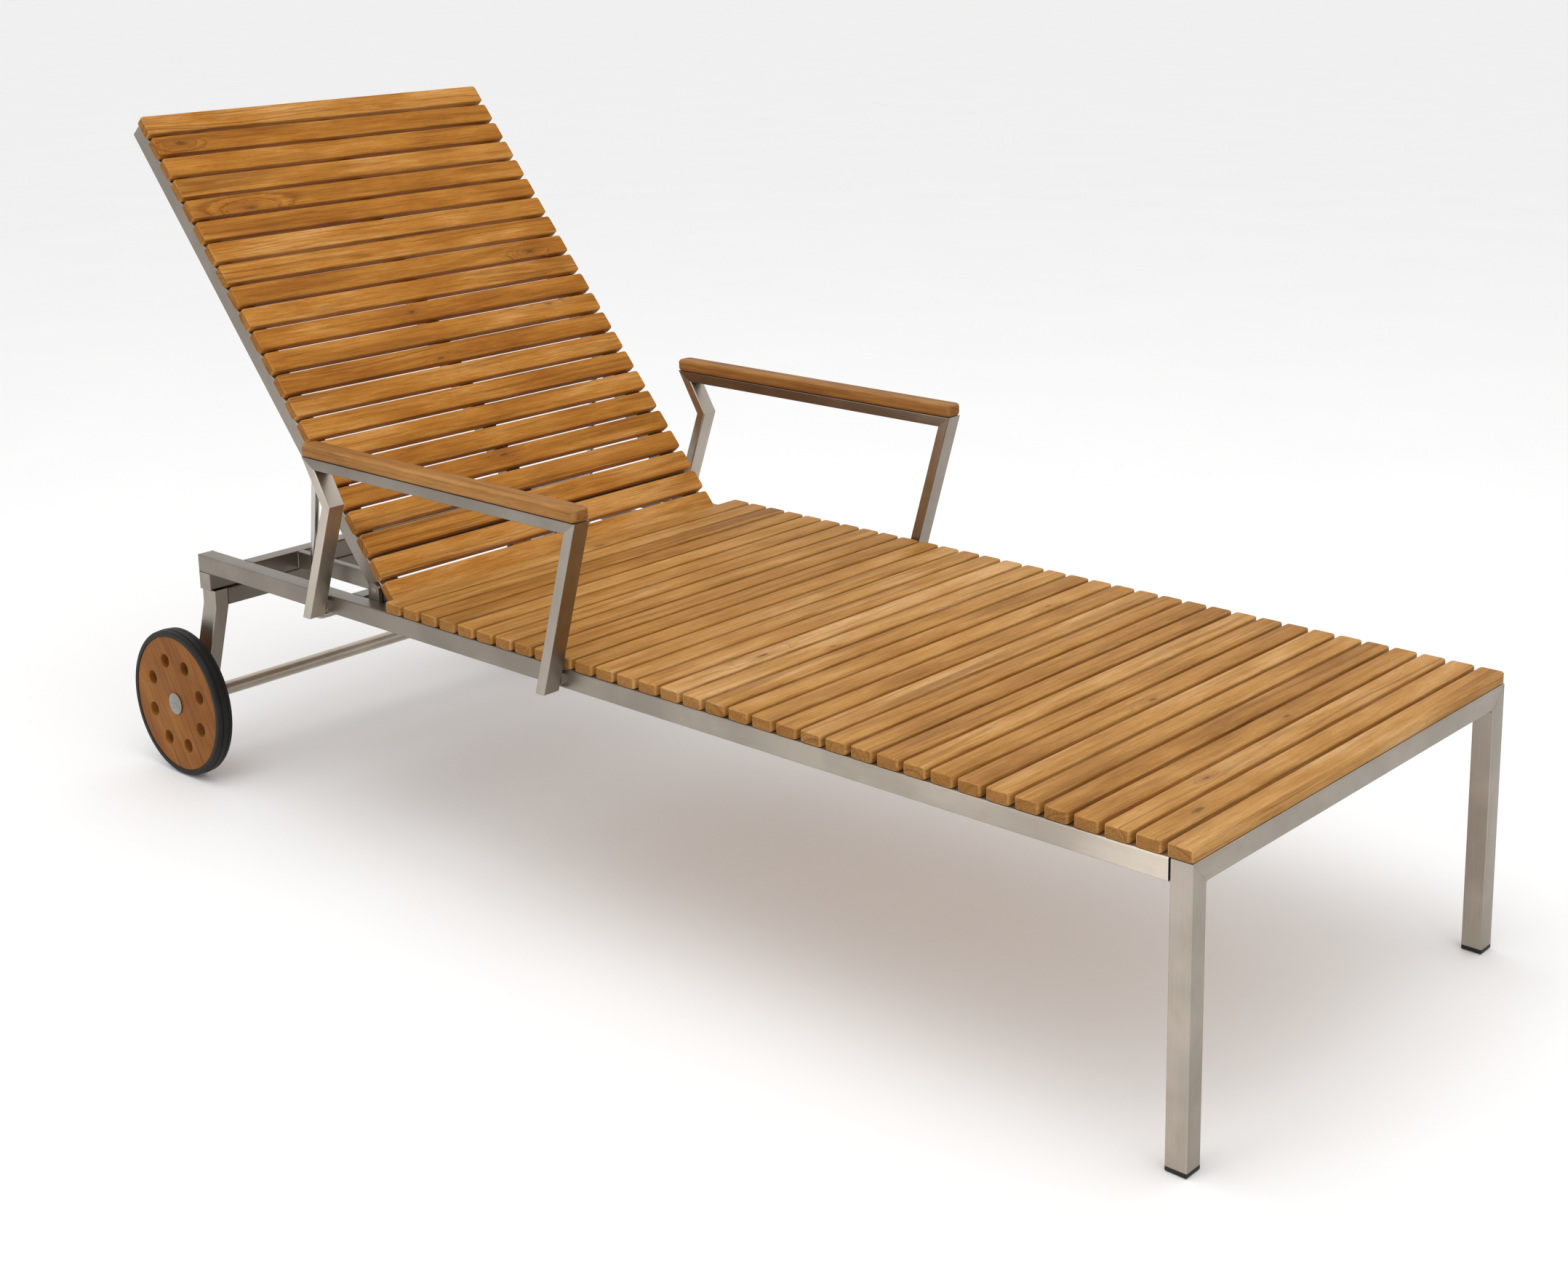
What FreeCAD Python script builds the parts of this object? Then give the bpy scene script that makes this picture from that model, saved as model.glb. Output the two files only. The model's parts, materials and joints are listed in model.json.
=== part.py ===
import FreeCAD, Part
import os
import re
import Sketcher

# Sun lounger: teak slats on a stainless-steel frame, tilting back, two armrests, two wheels.
# Millimetres, +Z up. +X runs from the head end to the foot end, -Y is the near side.
# The origin is on the floor, in the middle of the overall length and width.
# Sketch outlines give X as minus the distance from the foot face; the back's are seen flat, from its hinge.

DIMENSIONS = [
    ("half_length", 891.5, "origin to the face of the foot legs"),
    ("half_width", 324, "origin to the outer face of a side rail"),
    ("rail_top", 327, "floor to the top of the rails"),
    ("tube", 25, "outer size of the square frame tube"),
    ("wall", 1.5, "tube wall"),
    ("arris", 2, "rounding of tube edges"),
    ("edge_ease", 1, "rounding of plates and flat bars"),
    ("leg_depth", 26, "foot legs, size along the lounger"),
    ("shadow_gap", 1.5, "gap between rail and foot leg"),
    ("joiner_size", 21, "square joiner inside the rail"),
    ("joiner_length", 22, "joiner, along the rail"),
    ("glide_height", 6, "plastic glide under a foot leg"),
    ("glide_inset", 0.5, "leg face to glide"),
    ("glide_arris", 1.5, "rounding of the glide's lower edges"),
    ("rail_end", 1643, "foot face to the head end of the rails"),
    ("end_cap", 2, "plate that closes a rail"),
    ("head_crossbar_at", 1543.5, "foot face to the near face of the head crossbar"),
    ("hinge_crossbar_at", 1296, "foot face to the near face of the hinge crossbar"),
    ("inner_bar_inset", 98, "rail face to the outer side of an inner bar"),
    ("inner_bar_width", 10, "inner bar, across the lounger"),
    ("hook_width", 6, "thickness of a rest hook"),
    ("hook_back", 22, "stay rod's middle to the back of a rest hook"),
    ("hook_lip", 11, "stay rod's middle to the tip of a rest hook"),
    ("hook_gap", 0.5, "play between the stay's rod and its hook"),
    ("hook_angle", 232, "where the hook's lip ends, round the stay rod from its foot side"),
    ("hook_heel", 6, "stay rod's middle down to the heel of the hook"),
    ("hook_heel_cut", 5, "back of the hook to its heel"),
    ("bearer_height", 20, "seat centre bearer"),
    ("bearer_step_at", 1228, "foot face to the step in the bearer"),
    ("bearer_step", 10, "how far the bearer drops there to clear the back"),
    ("slat_pitch", 36, "pitch of all slats"),
    ("slat_width", 30, "one slat"),
    ("slat_thickness", 14, "one slat"),
    ("slat_arris", 2, "rounding of slat edges"),
    ("seat_slats", 34, "number of seat slats"),
    ("seat_slat_at", 15.5, "foot face to the middle of the last slat"),
    ("back_slats", 22, "number of back slats"),
    ("back_slat_at", 16, "hinge axis to the middle of the lowest back slat"),
    ("back_slat_inset", 27, "rail face to the end of a back slat"),
    ("wheel_front", 1613, "foot face to the front of the wheel frame"),
    ("wheel_tube", 30, "wheel-frame tube, along the lounger"),
    ("wheel_tube_width", 22, "wheel-frame leg, across the lounger"),
    ("wheel_tube_height", 24.5, "wheel-frame crossbar"),
    ("wheel_frame_inset", 3, "rail face to the wheel-leg face"),
    ("crank_height", 251, "floor to the bend in a wheel leg"),
    ("crank_lean", 0.328, "backward lean of a wheel leg per unit of height"),
    ("wheel_leg_foot", 92, "floor to the cut end of a wheel leg"),
    ("frame_bolt_at", 274, "middle plane to an outer bolt of the wheel frame"),
    ("axle_at", 1676, "foot face to the wheel axis"),
    ("tyre_radius", 107, "wheel, outer radius; height of the axis"),
    ("tyre_width", 24, "tyre"),
    ("tyre_crown", 4.5, "how far the tread rounds off at its edges"),
    ("shoulder_drop", 1.8, "tread middle down to the tyre's shoulder"),
    ("shoulder_inset", 1.2, "side of the tyre in to its shoulder"),
    ("brow_drop", 0.4, "tread middle down to the edge of the flat tread"),
    ("brow_inset", 4, "side of the tyre in to that edge"),
    ("wheel_outset", 34, "rail face to the outer face of the tyre"),
    ("disc_radius", 98, "teak wheel disc"),
    ("disc_width", 22, "teak wheel disc"),
    ("disc_hole_ring", 63, "radius of the ring of holes"),
    ("disc_hole", 10, "radius of a hole in the disc"),
    ("disc_holes", 8, "number of those holes"),
    ("disc_hole_start", 20, "angle of the first hole above the wheel's axis"),
    ("disc_ease", 2, "rounding of the disc's rim"),
    ("bush_radius", 11, "plastic hub bush, outside"),
    ("axle_pin", 6, "wheel pin radius"),
    ("running_gap", 0.05, "radial play of a turning fit"),
    ("end_gap", 0.5, "play between parts that turn side by side"),
    ("drill_gap", 0.1, "radial play of a fixed bolt or pin in its hole"),
    ("hub_cap_radius", 15.5, "domed hub cap"),
    ("hub_cap_rise", 4.5, "height of its dome"),
    ("axle_tube_radius", 10, "cross tube between the wheel legs"),
    ("spacer_radius", 9, "round spacers"),
    ("arm_gap", 4.4, "rail face to armrest leg"),
    ("arm_depth", 15, "armrest tube, seen from the side"),
    ("arm_foot", 300, "floor to the lower end of the armrest legs"),
    ("arm_top", 521, "floor to the top of the armrest tube"),
    ("arm_front_low", 880.3, "foot face to the front leg at its foot"),
    ("arm_front_high", 814, "foot face to the front leg at its top"),
    ("arm_rear_low", 1341.7, "foot face to the rear leg at its foot"),
    ("arm_elbow_at", 1283, "foot face to the bend in the rear leg"),
    ("arm_elbow_height", 461, "floor to that bend"),
    ("arm_rear_high", 1310, "foot face to the rear leg under the top tube"),
    ("arm_cap_width", 27, "teak armrest cap"),
    ("arm_cap_height", 17, "teak armrest cap"),
    ("cap_overhang", 1, "cap beyond each end of the armrest tube"),
    ("cap_corner", 8, "rounding of the cap's corners seen from above"),
    ("cap_round", 5, "rounding of the cap's upper edges"),
    ("bolt_radius", 4, "bolt shank"),
    ("bolt_head", 7, "bolt head radius"),
    ("bolt_rise", 3.5, "bolt head height"),
    ("hinge_at", 1273.3, "foot face to the back's hinge axis"),
    ("hinge_height", 338.6, "floor to the back's hinge axis"),
    ("hinge_pin", 5, "hinge pin radius"),
    ("plate_width", 5, "thickness of a hinge plate"),
    ("plate_radius", 11, "rounded top of a hinge plate"),
    ("plate_foot", 305, "floor to the lower edge of a hinge plate"),
    ("pin_head", 8, "radius of the hinge pin's head"),
    ("head_depth", 2.5, "thickness of the pin heads"),
    ("back_angle", 49.7, "the back above the seat plane, as built"),
    ("stile_inset", 31, "rail face to the outer side of a stile"),
    ("stile_width", 30, "stile, across the lounger"),
    ("stile_tail", 36, "stile beyond the hinge axis"),
    ("stile_length", 753, "hinge axis to the top of a stile"),
    ("back_rail_end", 751, "hinge axis to the outer face of the top rail"),
    ("low_rail_at", 26, "hinge axis to the near face of the bottom rail"),
    ("batten_width", 25, "centre batten of the back"),
    ("batten_depth", 20, "centre batten of the back"),
    ("stay_reach", 251.2, "hinge axis to the stay's pivot along the back"),
    ("stay_drop", 6.5, "stay pivot behind the middle of the stile"),
    ("stay_length", 277, "stay pivot to the foot of the stay"),
    ("stay_lean", 7, "the stay's lean off vertical, as built"),
    ("stay_inset", 70, "rail face to the middle of a stay leg"),
    ("stay_rod", 5.5, "radius of the stay's rod"),
    ("stay_bend", 16, "centre-line radius of the stay's bend"),
    ("stay_eye", 9, "radius of the stay's eye"),
    ("eye_width", 12, "width of the stay's eye"),
    ("stay_pin", 4, "stay pin radius"),
    ("stay_collar", 7, "radius of the stay pin's collar and head"),
]

ALIASES = {alias for alias, _, _ in DIMENSIONS}
SIDES = (("near", -1), ("far", 1))
ACROSS = FreeCAD.Rotation(FreeCAD.Vector(1, 0, 0), -90)
UPRIGHT = FreeCAD.Rotation()
CLOSE = 1e-4
NEARLY_ALONG = 0.99

doc = FreeCAD.newDocument("lounger")
sheet = doc.addObject("Spreadsheet::Sheet", "dims")
for row, (alias, value, meaning) in enumerate(DIMENSIONS, 1):
    sheet.set(f"A{row}", meaning)
    sheet.set(f"B{row}", str(value))
    sheet.setAlias(f"B{row}", alias)
doc.recompute()

nodes = []


def d(text):
    """Turn 'rail_top - tube/2' into an expression on the sheet, 'dims.rail_top - dims.tube/2'."""
    return re.sub("[a-z_]+", lambda word: "dims." + word[0] if word[0] in ALIASES else word[0], text)


def number(text):
    return float(sheet.evalExpression(d(text)))


def finish_node(shape_object, name):
    shape_object.Label = name
    nodes.append(shape_object)
    return shape_object


def place(shape_object, x="0", y="0", z="0", turn=None):
    """Bind a position to the sheet; turn is an angle about +Y, also bound."""
    for axis, text in zip("xyz", (x, y, z)):
        shape_object.setExpression(f"Placement.Base.{axis}", d(text))
    if turn is not None:
        shape_object.Placement = FreeCAD.Placement(FreeCAD.Vector(), FreeCAD.Vector(0, 1, 0), number(turn))
        shape_object.setExpression("Placement.Rotation.Angle", d(turn))


def origin_part(body, role):
    return [item for item in body.Origin.OriginFeatures if getattr(item, "Role", "") == role][0]


def empty_sketch(body, role):
    sketch = body.newObject("Sketcher::SketchObject", "outline")
    sketch.AttachmentSupport = [(origin_part(body, role), "")]
    sketch.MapMode = "FlatFace"
    return sketch


def bind(sketch, kind, *target, text):
    index = sketch.addConstraint(Sketcher.Constraint(kind, *target, number(text)))
    sketch.setExpression(f"Constraints[{index}]", d(text))


def outline(body, role, points):
    """A closed sketch with a straight side between each two points, every point bound to the sheet."""
    sketch = empty_sketch(body, role)
    corners = [FreeCAD.Vector(number(x), number(y), 0) for x, y in points]
    count = len(corners)
    for index in range(count):
        sketch.addGeometry(Part.LineSegment(corners[index], corners[(index + 1) % count]))
    for index in range(count):
        sketch.addConstraint(Sketcher.Constraint("Coincident", index, 2, (index + 1) % count, 1))
    for index, (x, y) in enumerate(points):
        bind(sketch, "DistanceX", -1, 1, index, 1, text=x)
        bind(sketch, "DistanceY", -1, 1, index, 1, text=y)
    return sketch


def round_outline(body, role, x, y, radius):
    sketch = empty_sketch(body, role)
    centre = FreeCAD.Vector(number(x), number(y), 0)
    sketch.addGeometry(Part.Circle(centre, FreeCAD.Vector(0, 0, 1), number(radius)))
    bind(sketch, "Radius", 0, text=radius)
    bind(sketch, "DistanceX", -1, 1, 0, 3, text=x)
    bind(sketch, "DistanceY", -1, 1, 0, 3, text=y)
    return sketch


def pad(body, sketch, depth):
    feature = body.newObject("PartDesign::Pad", "pad")
    feature.Profile = sketch
    feature.SideType = "Symmetric"
    feature.setExpression("Length", d(depth))
    body.Tip = feature
    doc.recompute()
    return feature


def bore(body, sketch):
    """Cut a sketch through the whole body, and check that it took material away."""
    before = body.Shape.Volume
    feature = body.newObject("PartDesign::Pocket", "bore")
    feature.Profile = sketch
    feature.Type = "ThroughAll"
    feature.SideType = "Symmetric"
    body.Tip = feature
    doc.recompute()
    if not feature.Shape.Volume < before:
        raise RuntimeError(f"{body.Name}: the bore removed nothing")
    return feature


def fillet(body, base, edge_names, radius):
    feature = body.newObject("PartDesign::Fillet", "rounding")
    feature.Base = (base, edge_names)
    feature.setExpression("Radius", d(radius))
    body.Tip = feature
    doc.recompute()
    return feature


def middle(edge):
    return edge.valueAt((edge.FirstParameter + edge.LastParameter) / 2)


def edges_where(shape, test):
    """Names of the edges whose middle point and direction pass the test."""
    chosen = []
    for index, edge in enumerate(shape.Edges, 1):
        if test(middle(edge), edge.tangentAt(edge.FirstParameter)):
            chosen.append(f"Edge{index}")
    return chosen


def faces_at(shape, points):
    """Names of the flat faces that hold any of the points."""
    chosen = []
    for index, face in enumerate(shape.Faces, 1):
        for point in points:
            if face.distToShape(Part.Vertex(point))[0] < CLOSE:
                chosen.append(f"Face{index}")
                break
    return chosen


def side_middle(role, points, index):
    """Middle of one side of an outline, in the body's own axes."""
    (x1, y1), (x2, y2) = points[index], points[(index + 1) % len(points)]
    u, v = (number(x1) + number(x2)) / 2, (number(y1) + number(y2)) / 2
    return FreeCAD.Vector(0, u, v) if role == "YZ_Plane" else FreeCAD.Vector(u, 0, v)


def tube(name, role, points, depth, open_sides=(), rounding="arris"):
    """A hollow tube. open_sides are the outline's cut ends; with none the tube runs across the sketch."""
    body = doc.addObject("PartDesign::Body", name)
    solid = pad(body, outline(body, role, points), depth)
    across = FreeCAD.Vector(1, 0, 0) if role == "YZ_Plane" else FreeCAD.Vector(0, 1, 0)
    half = number(depth) / 2
    if open_sides:
        ends = [side_middle(role, points, index) for index in open_sides]
        cut_faces = [solid.Shape.Faces[int(face[4:]) - 1] for face in faces_at(solid.Shape, ends)]

        def is_long(point, direction):
            on_cut = any(face.distToShape(Part.Vertex(point))[0] < CLOSE for face in cut_faces)
            return abs(abs(point.dot(across)) - half) < CLOSE and not on_cut
    else:
        centre = solid.Shape.BoundBox.Center
        ends = [centre + across * half, centre - across * half]

        def is_long(point, direction):
            return abs(direction.dot(across)) > NEARLY_ALONG
    rounded = fillet(body, solid, edges_where(solid.Shape, is_long), rounding) if rounding else solid
    shell = body.newObject("PartDesign::Thickness", "wall")
    shell.Base = (rounded, faces_at(rounded.Shape, ends))
    shell.Reversed = True
    shell.setExpression("Value", d("wall"))
    body.Tip = shell
    doc.recompute()
    if not 0 < shell.Shape.Volume < rounded.Shape.Volume:
        raise RuntimeError(f"{name}: the tube is not hollow")
    return finish_node(body, name)


def block(name, role, points, depth, rounding, test):
    """A solid prism, with the edges that pass the test rounded."""
    body = doc.addObject("PartDesign::Body", name)
    solid = pad(body, outline(body, role, points), depth)
    fillet(body, solid, edges_where(solid.Shape, test), rounding)
    return finish_node(body, name)


def rectangle(left, bottom, right, top):
    return [(left, bottom), (right, bottom), (right, top), (left, top)]


def cylinder(radius, length, x, y, z, turn=ACROSS):
    """A bar that starts at the given point and runs along +Y, or along +X or +Z with another turn."""
    bar = doc.addObject("Part::Cylinder", "bar")
    bar.setExpression("Radius", d(radius))
    bar.setExpression("Height", d(length))
    bar.Placement = FreeCAD.Placement(FreeCAD.Vector(), turn)
    place(bar, x, y, z)
    return bar


def peg(radius, inner, outer, x, z, sign):
    """A bar across the lounger, between two distances from the middle plane, on one side of it."""
    start = inner if sign > 0 else f"-({outer})"
    return cylinder(radius, f"({outer}) - ({inner})", x, start, z)


def ball(radius, x, y, z):
    sphere = doc.addObject("Part::Sphere", "ball")
    sphere.setExpression("Radius", d(radius))
    place(sphere, x, y, z)
    return sphere


def dome(radius, rise, x, y, z, side, turn=ACROSS):
    """A domed head whose flat side is at the given point and which bulges towards side."""
    sphere_radius = f"(({radius})^2 + ({rise})^2) / (2 * ({rise}))"
    sink = f"({side}) * (({rise}) - {sphere_radius})"
    start = f"({side} - 1) / 2 * ({rise})"
    if turn is ACROSS:
        rim = cylinder(radius, rise, x, f"{y} + {start}", z)
        cap = ball(sphere_radius, x, f"{y} + {sink}", z)
    else:
        rim = cylinder(radius, rise, x, y, f"{z} + {start}", UPRIGHT)
        cap = ball(sphere_radius, x, y, f"{z} + {sink}")
    return joined("Part::MultiCommon", [rim, cap])


def joined(kind, parts):
    result = doc.addObject(kind, "joined")
    result.Shapes = parts
    return result


def cut(base, tool):
    result = doc.addObject("Part::Cut", "cut")
    result.Base = base
    result.Tool = tool
    return result


def drilled(radius, hole, inner, outer, x, z, sign):
    return cut(peg(radius, inner, outer, x, z, sign), peg(hole, inner, outer, x, z, sign))


def group(name, parts):
    """Several separate solids under one name."""
    result = doc.addObject("Part::Compound", name)
    result.Links = parts
    return finish_node(result, name)


# The face of the foot legs, which the outlines are measured from.
FOOT = "half_length"

# The stay's pivot, seen from the side, as distance from the foot face and height.
STAY_PIVOT_AT = "(hinge_at + stay_reach * cos(back_angle) + stay_drop * sin(back_angle))"
STAY_PIVOT_HEIGHT = "(hinge_height + stay_reach * sin(back_angle) - stay_drop * cos(back_angle))"
STAY_FOOT_AT = f"({STAY_PIVOT_AT} + stay_length * sin(stay_lean))"
STAY_FOOT_HEIGHT = f"({STAY_PIVOT_HEIGHT} - stay_length * cos(stay_lean))"


def side_rails():
    for side, sign in SIDES:
        middle_y = f"{sign} * (half_width - tube/2)"
        rail = rectangle("-(rail_end - end_cap)", "rail_top - tube", "-(leg_depth + shadow_gap)", "rail_top")
        body = tube("side_rail_" + side, "XZ_Plane", rail, "tube", open_sides=(1, 3))
        for at in (FRONT_BOLT_AT, REAR_BOLT_AT):
            hole = round_outline(body, "XZ_Plane", f"-({at})", "rail_top - tube/2", "bolt_radius + drill_gap")
            bore(body, hole)
        place(body, FOOT, middle_y)
        cap = block("rail_end_cap_" + side, "XZ_Plane",
                    rectangle("-rail_end", "rail_top - tube", "-(rail_end - end_cap)", "rail_top"), "tube",
                    "edge_ease", lambda point, direction: abs(point.x + number("rail_end")) < CLOSE)
        place(cap, FOOT, middle_y)


def rail_joiners():
    parts = []
    for _, sign in SIDES:
        body = doc.addObject("PartDesign::Body", "joiner")
        ends = ("-(leg_depth + shadow_gap + joiner_length)", "-leg_depth")
        middle_z = "rail_top - tube/2"
        shape = rectangle(ends[0], f"{middle_z} - joiner_size/2", ends[1], f"{middle_z} + joiner_size/2")
        pad(body, outline(body, "XZ_Plane", shape), "joiner_size")
        place(body, FOOT, f"{sign} * (half_width - tube/2)")
        parts.append(body)
    group("rail_joiners", parts)


def cross_tubes():
    low, high = "rail_top - tube", "rail_top"
    between = "2*(half_width - tube)"
    for name, at in (("head_crossbar", "head_crossbar_at"), ("hinge_crossbar", "hinge_crossbar_at")):
        place(tube(name, "XZ_Plane", rectangle(f"-({at} + tube)", low, f"-{at}", high), between), FOOT)
    under = rectangle("-rail_end", "rail_top - 2*tube", "-(rail_end - tube)", low)
    place(tube("head_lower_tube", "XZ_Plane", under, "2*(half_width - end_cap)"), FOOT)
    caps = []
    for _, sign in SIDES:
        cap = doc.addObject("PartDesign::Body", "cap")
        solid = pad(cap, outline(cap, "XZ_Plane", under), "end_cap")
        outer_face = number(f"{sign} * end_cap/2")
        rim = edges_where(solid.Shape, lambda point, direction: abs(point.y - outer_face) < CLOSE)
        fillet(cap, solid, rim, "edge_ease")
        place(cap, FOOT, f"{sign} * (half_width - end_cap/2)")
        caps.append(cap)
    group("lower_tube_caps", caps)


def inner_bars():
    bar = rectangle("-head_crossbar_at", "rail_top - tube", "-(hinge_crossbar_at + tube)", "rail_top")
    seat_radius = "(stay_rod + hook_gap)"
    back = f"-({STAY_FOOT_AT} + hook_back)"

    def on_lip(radius):
        return (f"-({STAY_FOOT_AT} - {radius} * cos(hook_angle))",
                f"{STAY_FOOT_HEIGHT} + {radius} * sin(hook_angle)")

    bar_foot = "rail_top - tube"
    hook = [(back, bar_foot), (f"-({STAY_FOOT_AT} + {seat_radius} + edge_ease)", bar_foot),
            (f"-({STAY_FOOT_AT} + {seat_radius})", STAY_FOOT_HEIGHT), on_lip(seat_radius),
            on_lip("hook_lip"), (f"{back} + hook_heel_cut", f"{STAY_FOOT_HEIGHT} - hook_heel")]
    for side, sign in SIDES:
        body = block("inner_bar_" + side, "XZ_Plane", bar, "inner_bar_width", "edge_ease",
                     lambda point, direction: abs(direction.x) > NEARLY_ALONG)
        place(body, FOOT, f"{sign} * (half_width - inner_bar_inset - inner_bar_width/2)")
        plate = doc.addObject("PartDesign::Body", "rest_hook_" + side)
        pad(plate, outline(plate, "XZ_Plane", hook), "hook_width")
        bore(plate, round_outline(plate, "XZ_Plane", f"-({STAY_FOOT_AT})", STAY_FOOT_HEIGHT, seat_radius))
        place(plate, FOOT, f"{sign} * (half_width - inner_bar_inset - hook_width/2)")
        finish_node(plate, "rest_hook_" + side)


def foot_frame():
    inner, outer = "(half_width - tube)", "half_width"
    low, mitre, high = "glide_height", "rail_top - tube", "rail_top"
    for side, sign in SIDES:
        leg = [(f"{sign} * {outer}", low), (f"{sign} * {inner}", low),
               (f"{sign} * {inner}", mitre), (f"{sign} * {outer}", high)]
        place(tube("foot_leg_" + side, "YZ_Plane", leg, "leg_depth", open_sides=(0, 2)),
              f"{FOOT} - leg_depth/2")
        glide = rectangle("-(leg_depth - glide_inset)", "0", "-glide_inset", "glide_height")
        body = block("foot_glide_" + side, "XZ_Plane", glide, "tube - 2*glide_inset", "glide_arris",
                     lambda point, direction: abs(point.z) < CLOSE)
        place(body, FOOT, f"{sign} * (half_width - tube/2)")
    bar = [(f"-{outer}", high), (f"-{inner}", mitre), (inner, mitre), (outer, high)]
    place(tube("foot_crossbar", "YZ_Plane", bar, "leg_depth", open_sides=(0, 2)), f"{FOOT} - leg_depth/2")


def slat_row(name, length, count, x, y, z, turn=None):
    """One rounded slat, repeated towards the head end at the slat pitch."""
    body = doc.addObject("PartDesign::Body", name)
    body.AllowCompound = True
    shape = rectangle(f"{x} - slat_width/2", z, f"{x} + slat_width/2", f"{z} + slat_thickness")
    solid = pad(body, outline(body, "XZ_Plane", shape), length)
    rounded = fillet(body, solid, edges_where(solid.Shape, lambda point, direction: True), "slat_arris")
    row = body.newObject("PartDesign::LinearPattern", "row")
    row.Originals = [solid, rounded]
    row.Direction = (origin_part(body, "X_Axis"), [""])
    row.Reversed = True
    row.setExpression("Length", d(f"slat_pitch * ({count} - 1)"))
    row.setExpression("Occurrences", d(count))
    body.Tip = row
    doc.recompute()
    if len(body.Shape.Solids) != round(number(count)):
        raise RuntimeError(f"{name}: {len(body.Shape.Solids)} slats")
    place(body, *y, turn=turn)
    return finish_node(body, name)


def seat():
    slat_row("seat_slats", "2*half_width", "seat_slats", "-seat_slat_at", (FOOT,), "rail_top")
    low, high, step = "rail_top - bearer_height", "rail_top", "rail_top - bearer_step"
    bearer = [("-hinge_crossbar_at", low), ("-leg_depth", low), ("-leg_depth", high),
              ("-bearer_step_at", high), ("-bearer_step_at", step), ("-hinge_crossbar_at", step)]
    place(tube("seat_center_bearer", "XZ_Plane", bearer, "tube", (1, 5), rounding=None), FOOT)


def wheel_frame():
    top = "rail_top - 2*tube"
    low = f"{top} - wheel_tube_height"
    bar = rectangle("-(wheel_front + wheel_tube)", low, "-wheel_front", top)
    inner_half = "(half_width - wheel_frame_inset - wheel_tube_width)"
    place(tube("wheel_frame_crossbar", "XZ_Plane", bar, f"2*{inner_half}"), FOOT)
    slant = "wheel_tube * sqrt(1 + crank_lean^2)"
    front_foot = "-(wheel_front + (crank_height - wheel_leg_foot) * crank_lean)"
    rear_bend = f"crank_height + ({slant} - wheel_tube) / crank_lean"
    leg = [("-(wheel_front + wheel_tube)", top), ("-(wheel_front + wheel_tube)", rear_bend),
           (f"{front_foot} - {slant}", "wheel_leg_foot"), (front_foot, "wheel_leg_foot"),
           ("-wheel_front", "crank_height"), ("-wheel_front", top)]
    for side, sign in SIDES:
        body = tube("wheel_leg_" + side, "XZ_Plane", leg, "wheel_tube_width", open_sides=(2, 5))
        bore(body, round_outline(body, "XZ_Plane", "-axle_at", "tyre_radius", "axle_pin + drill_gap"))
        place(body, FOOT, f"{sign} * (half_width - wheel_frame_inset - wheel_tube_width/2)")
    tube_bar = cylinder("axle_tube_radius", f"2*{inner_half}", f"{FOOT} - axle_at", f"-{inner_half}",
                        "tyre_radius")
    finish_node(tube_bar, "axle_tube")
    bolts = []
    for y in ("-frame_bolt_at", "0", "frame_bolt_at"):
        bolts.append(dome("bolt_head", "bolt_rise", f"{FOOT} - wheel_front - wheel_tube/2", y, low, -1,
                          UPRIGHT))
    group("wheel_frame_bolts", bolts)


def wheel_pins():
    at = f"{FOOT} - axle_at"
    leg_face = "half_width - wheel_frame_inset"
    pin_end = "half_width + wheel_outset + end_gap"
    spacer_end = "half_width + wheel_outset - tyre_width - end_gap"
    spacers = []
    for side, sign in SIDES:
        shank = peg("axle_pin", f"{leg_face} - wheel_tube_width", pin_end, at, "tyre_radius", sign)
        finish_node(shank, "axle_pin_" + side)
        cap = dome("hub_cap_radius", "hub_cap_rise", at, f"{sign} * ({pin_end})", "tyre_radius", sign)
        finish_node(cap, "hub_cap_" + side)
        spacers.append(drilled("bush_radius", "axle_pin + drill_gap", leg_face, spacer_end, at, "tyre_radius",
                               sign))
    group("wheel_spacers", spacers)


def wheels():
    at = f"{FOOT} - axle_at"
    for side, sign in SIDES:
        middle_y = f"{sign} * (half_width + wheel_outset - tyre_width/2)"
        disc = doc.addObject("PartDesign::Body", "wheel_disc_" + side)
        solid = pad(disc, round_outline(disc, "XZ_Plane", "0", "0", "disc_radius"), "disc_width")
        bore(disc, round_outline(disc, "XZ_Plane", "0", "0", "bush_radius"))
        hole = bore(disc, round_outline(disc, "XZ_Plane", "disc_hole_ring * cos(disc_hole_start)",
                                        "disc_hole_ring * sin(disc_hole_start)", "disc_hole"))
        ring = disc.newObject("PartDesign::PolarPattern", "ring")
        ring.Originals = [hole]
        ring.Axis = (origin_part(disc, "Y_Axis"), [""])
        ring.Angle = 360
        ring.setExpression("Occurrences", d("disc_holes"))
        disc.Tip = ring
        doc.recompute()
        rims = edges_where(ring.Shape, lambda point, direction: point.Length > number("disc_radius"))
        fillet(disc, ring, rims, "disc_ease")
        place(disc, at, middle_y, "tyre_radius")
        finish_node(disc, "wheel_disc_" + side)
        tyre(side, at, middle_y)
        outer = "half_width + wheel_outset"
        bush = drilled("bush_radius", "axle_pin + running_gap", f"{outer} - tyre_width", outer, at,
                       "tyre_radius", sign)
        finish_node(bush, "hub_bush_" + side)


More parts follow.
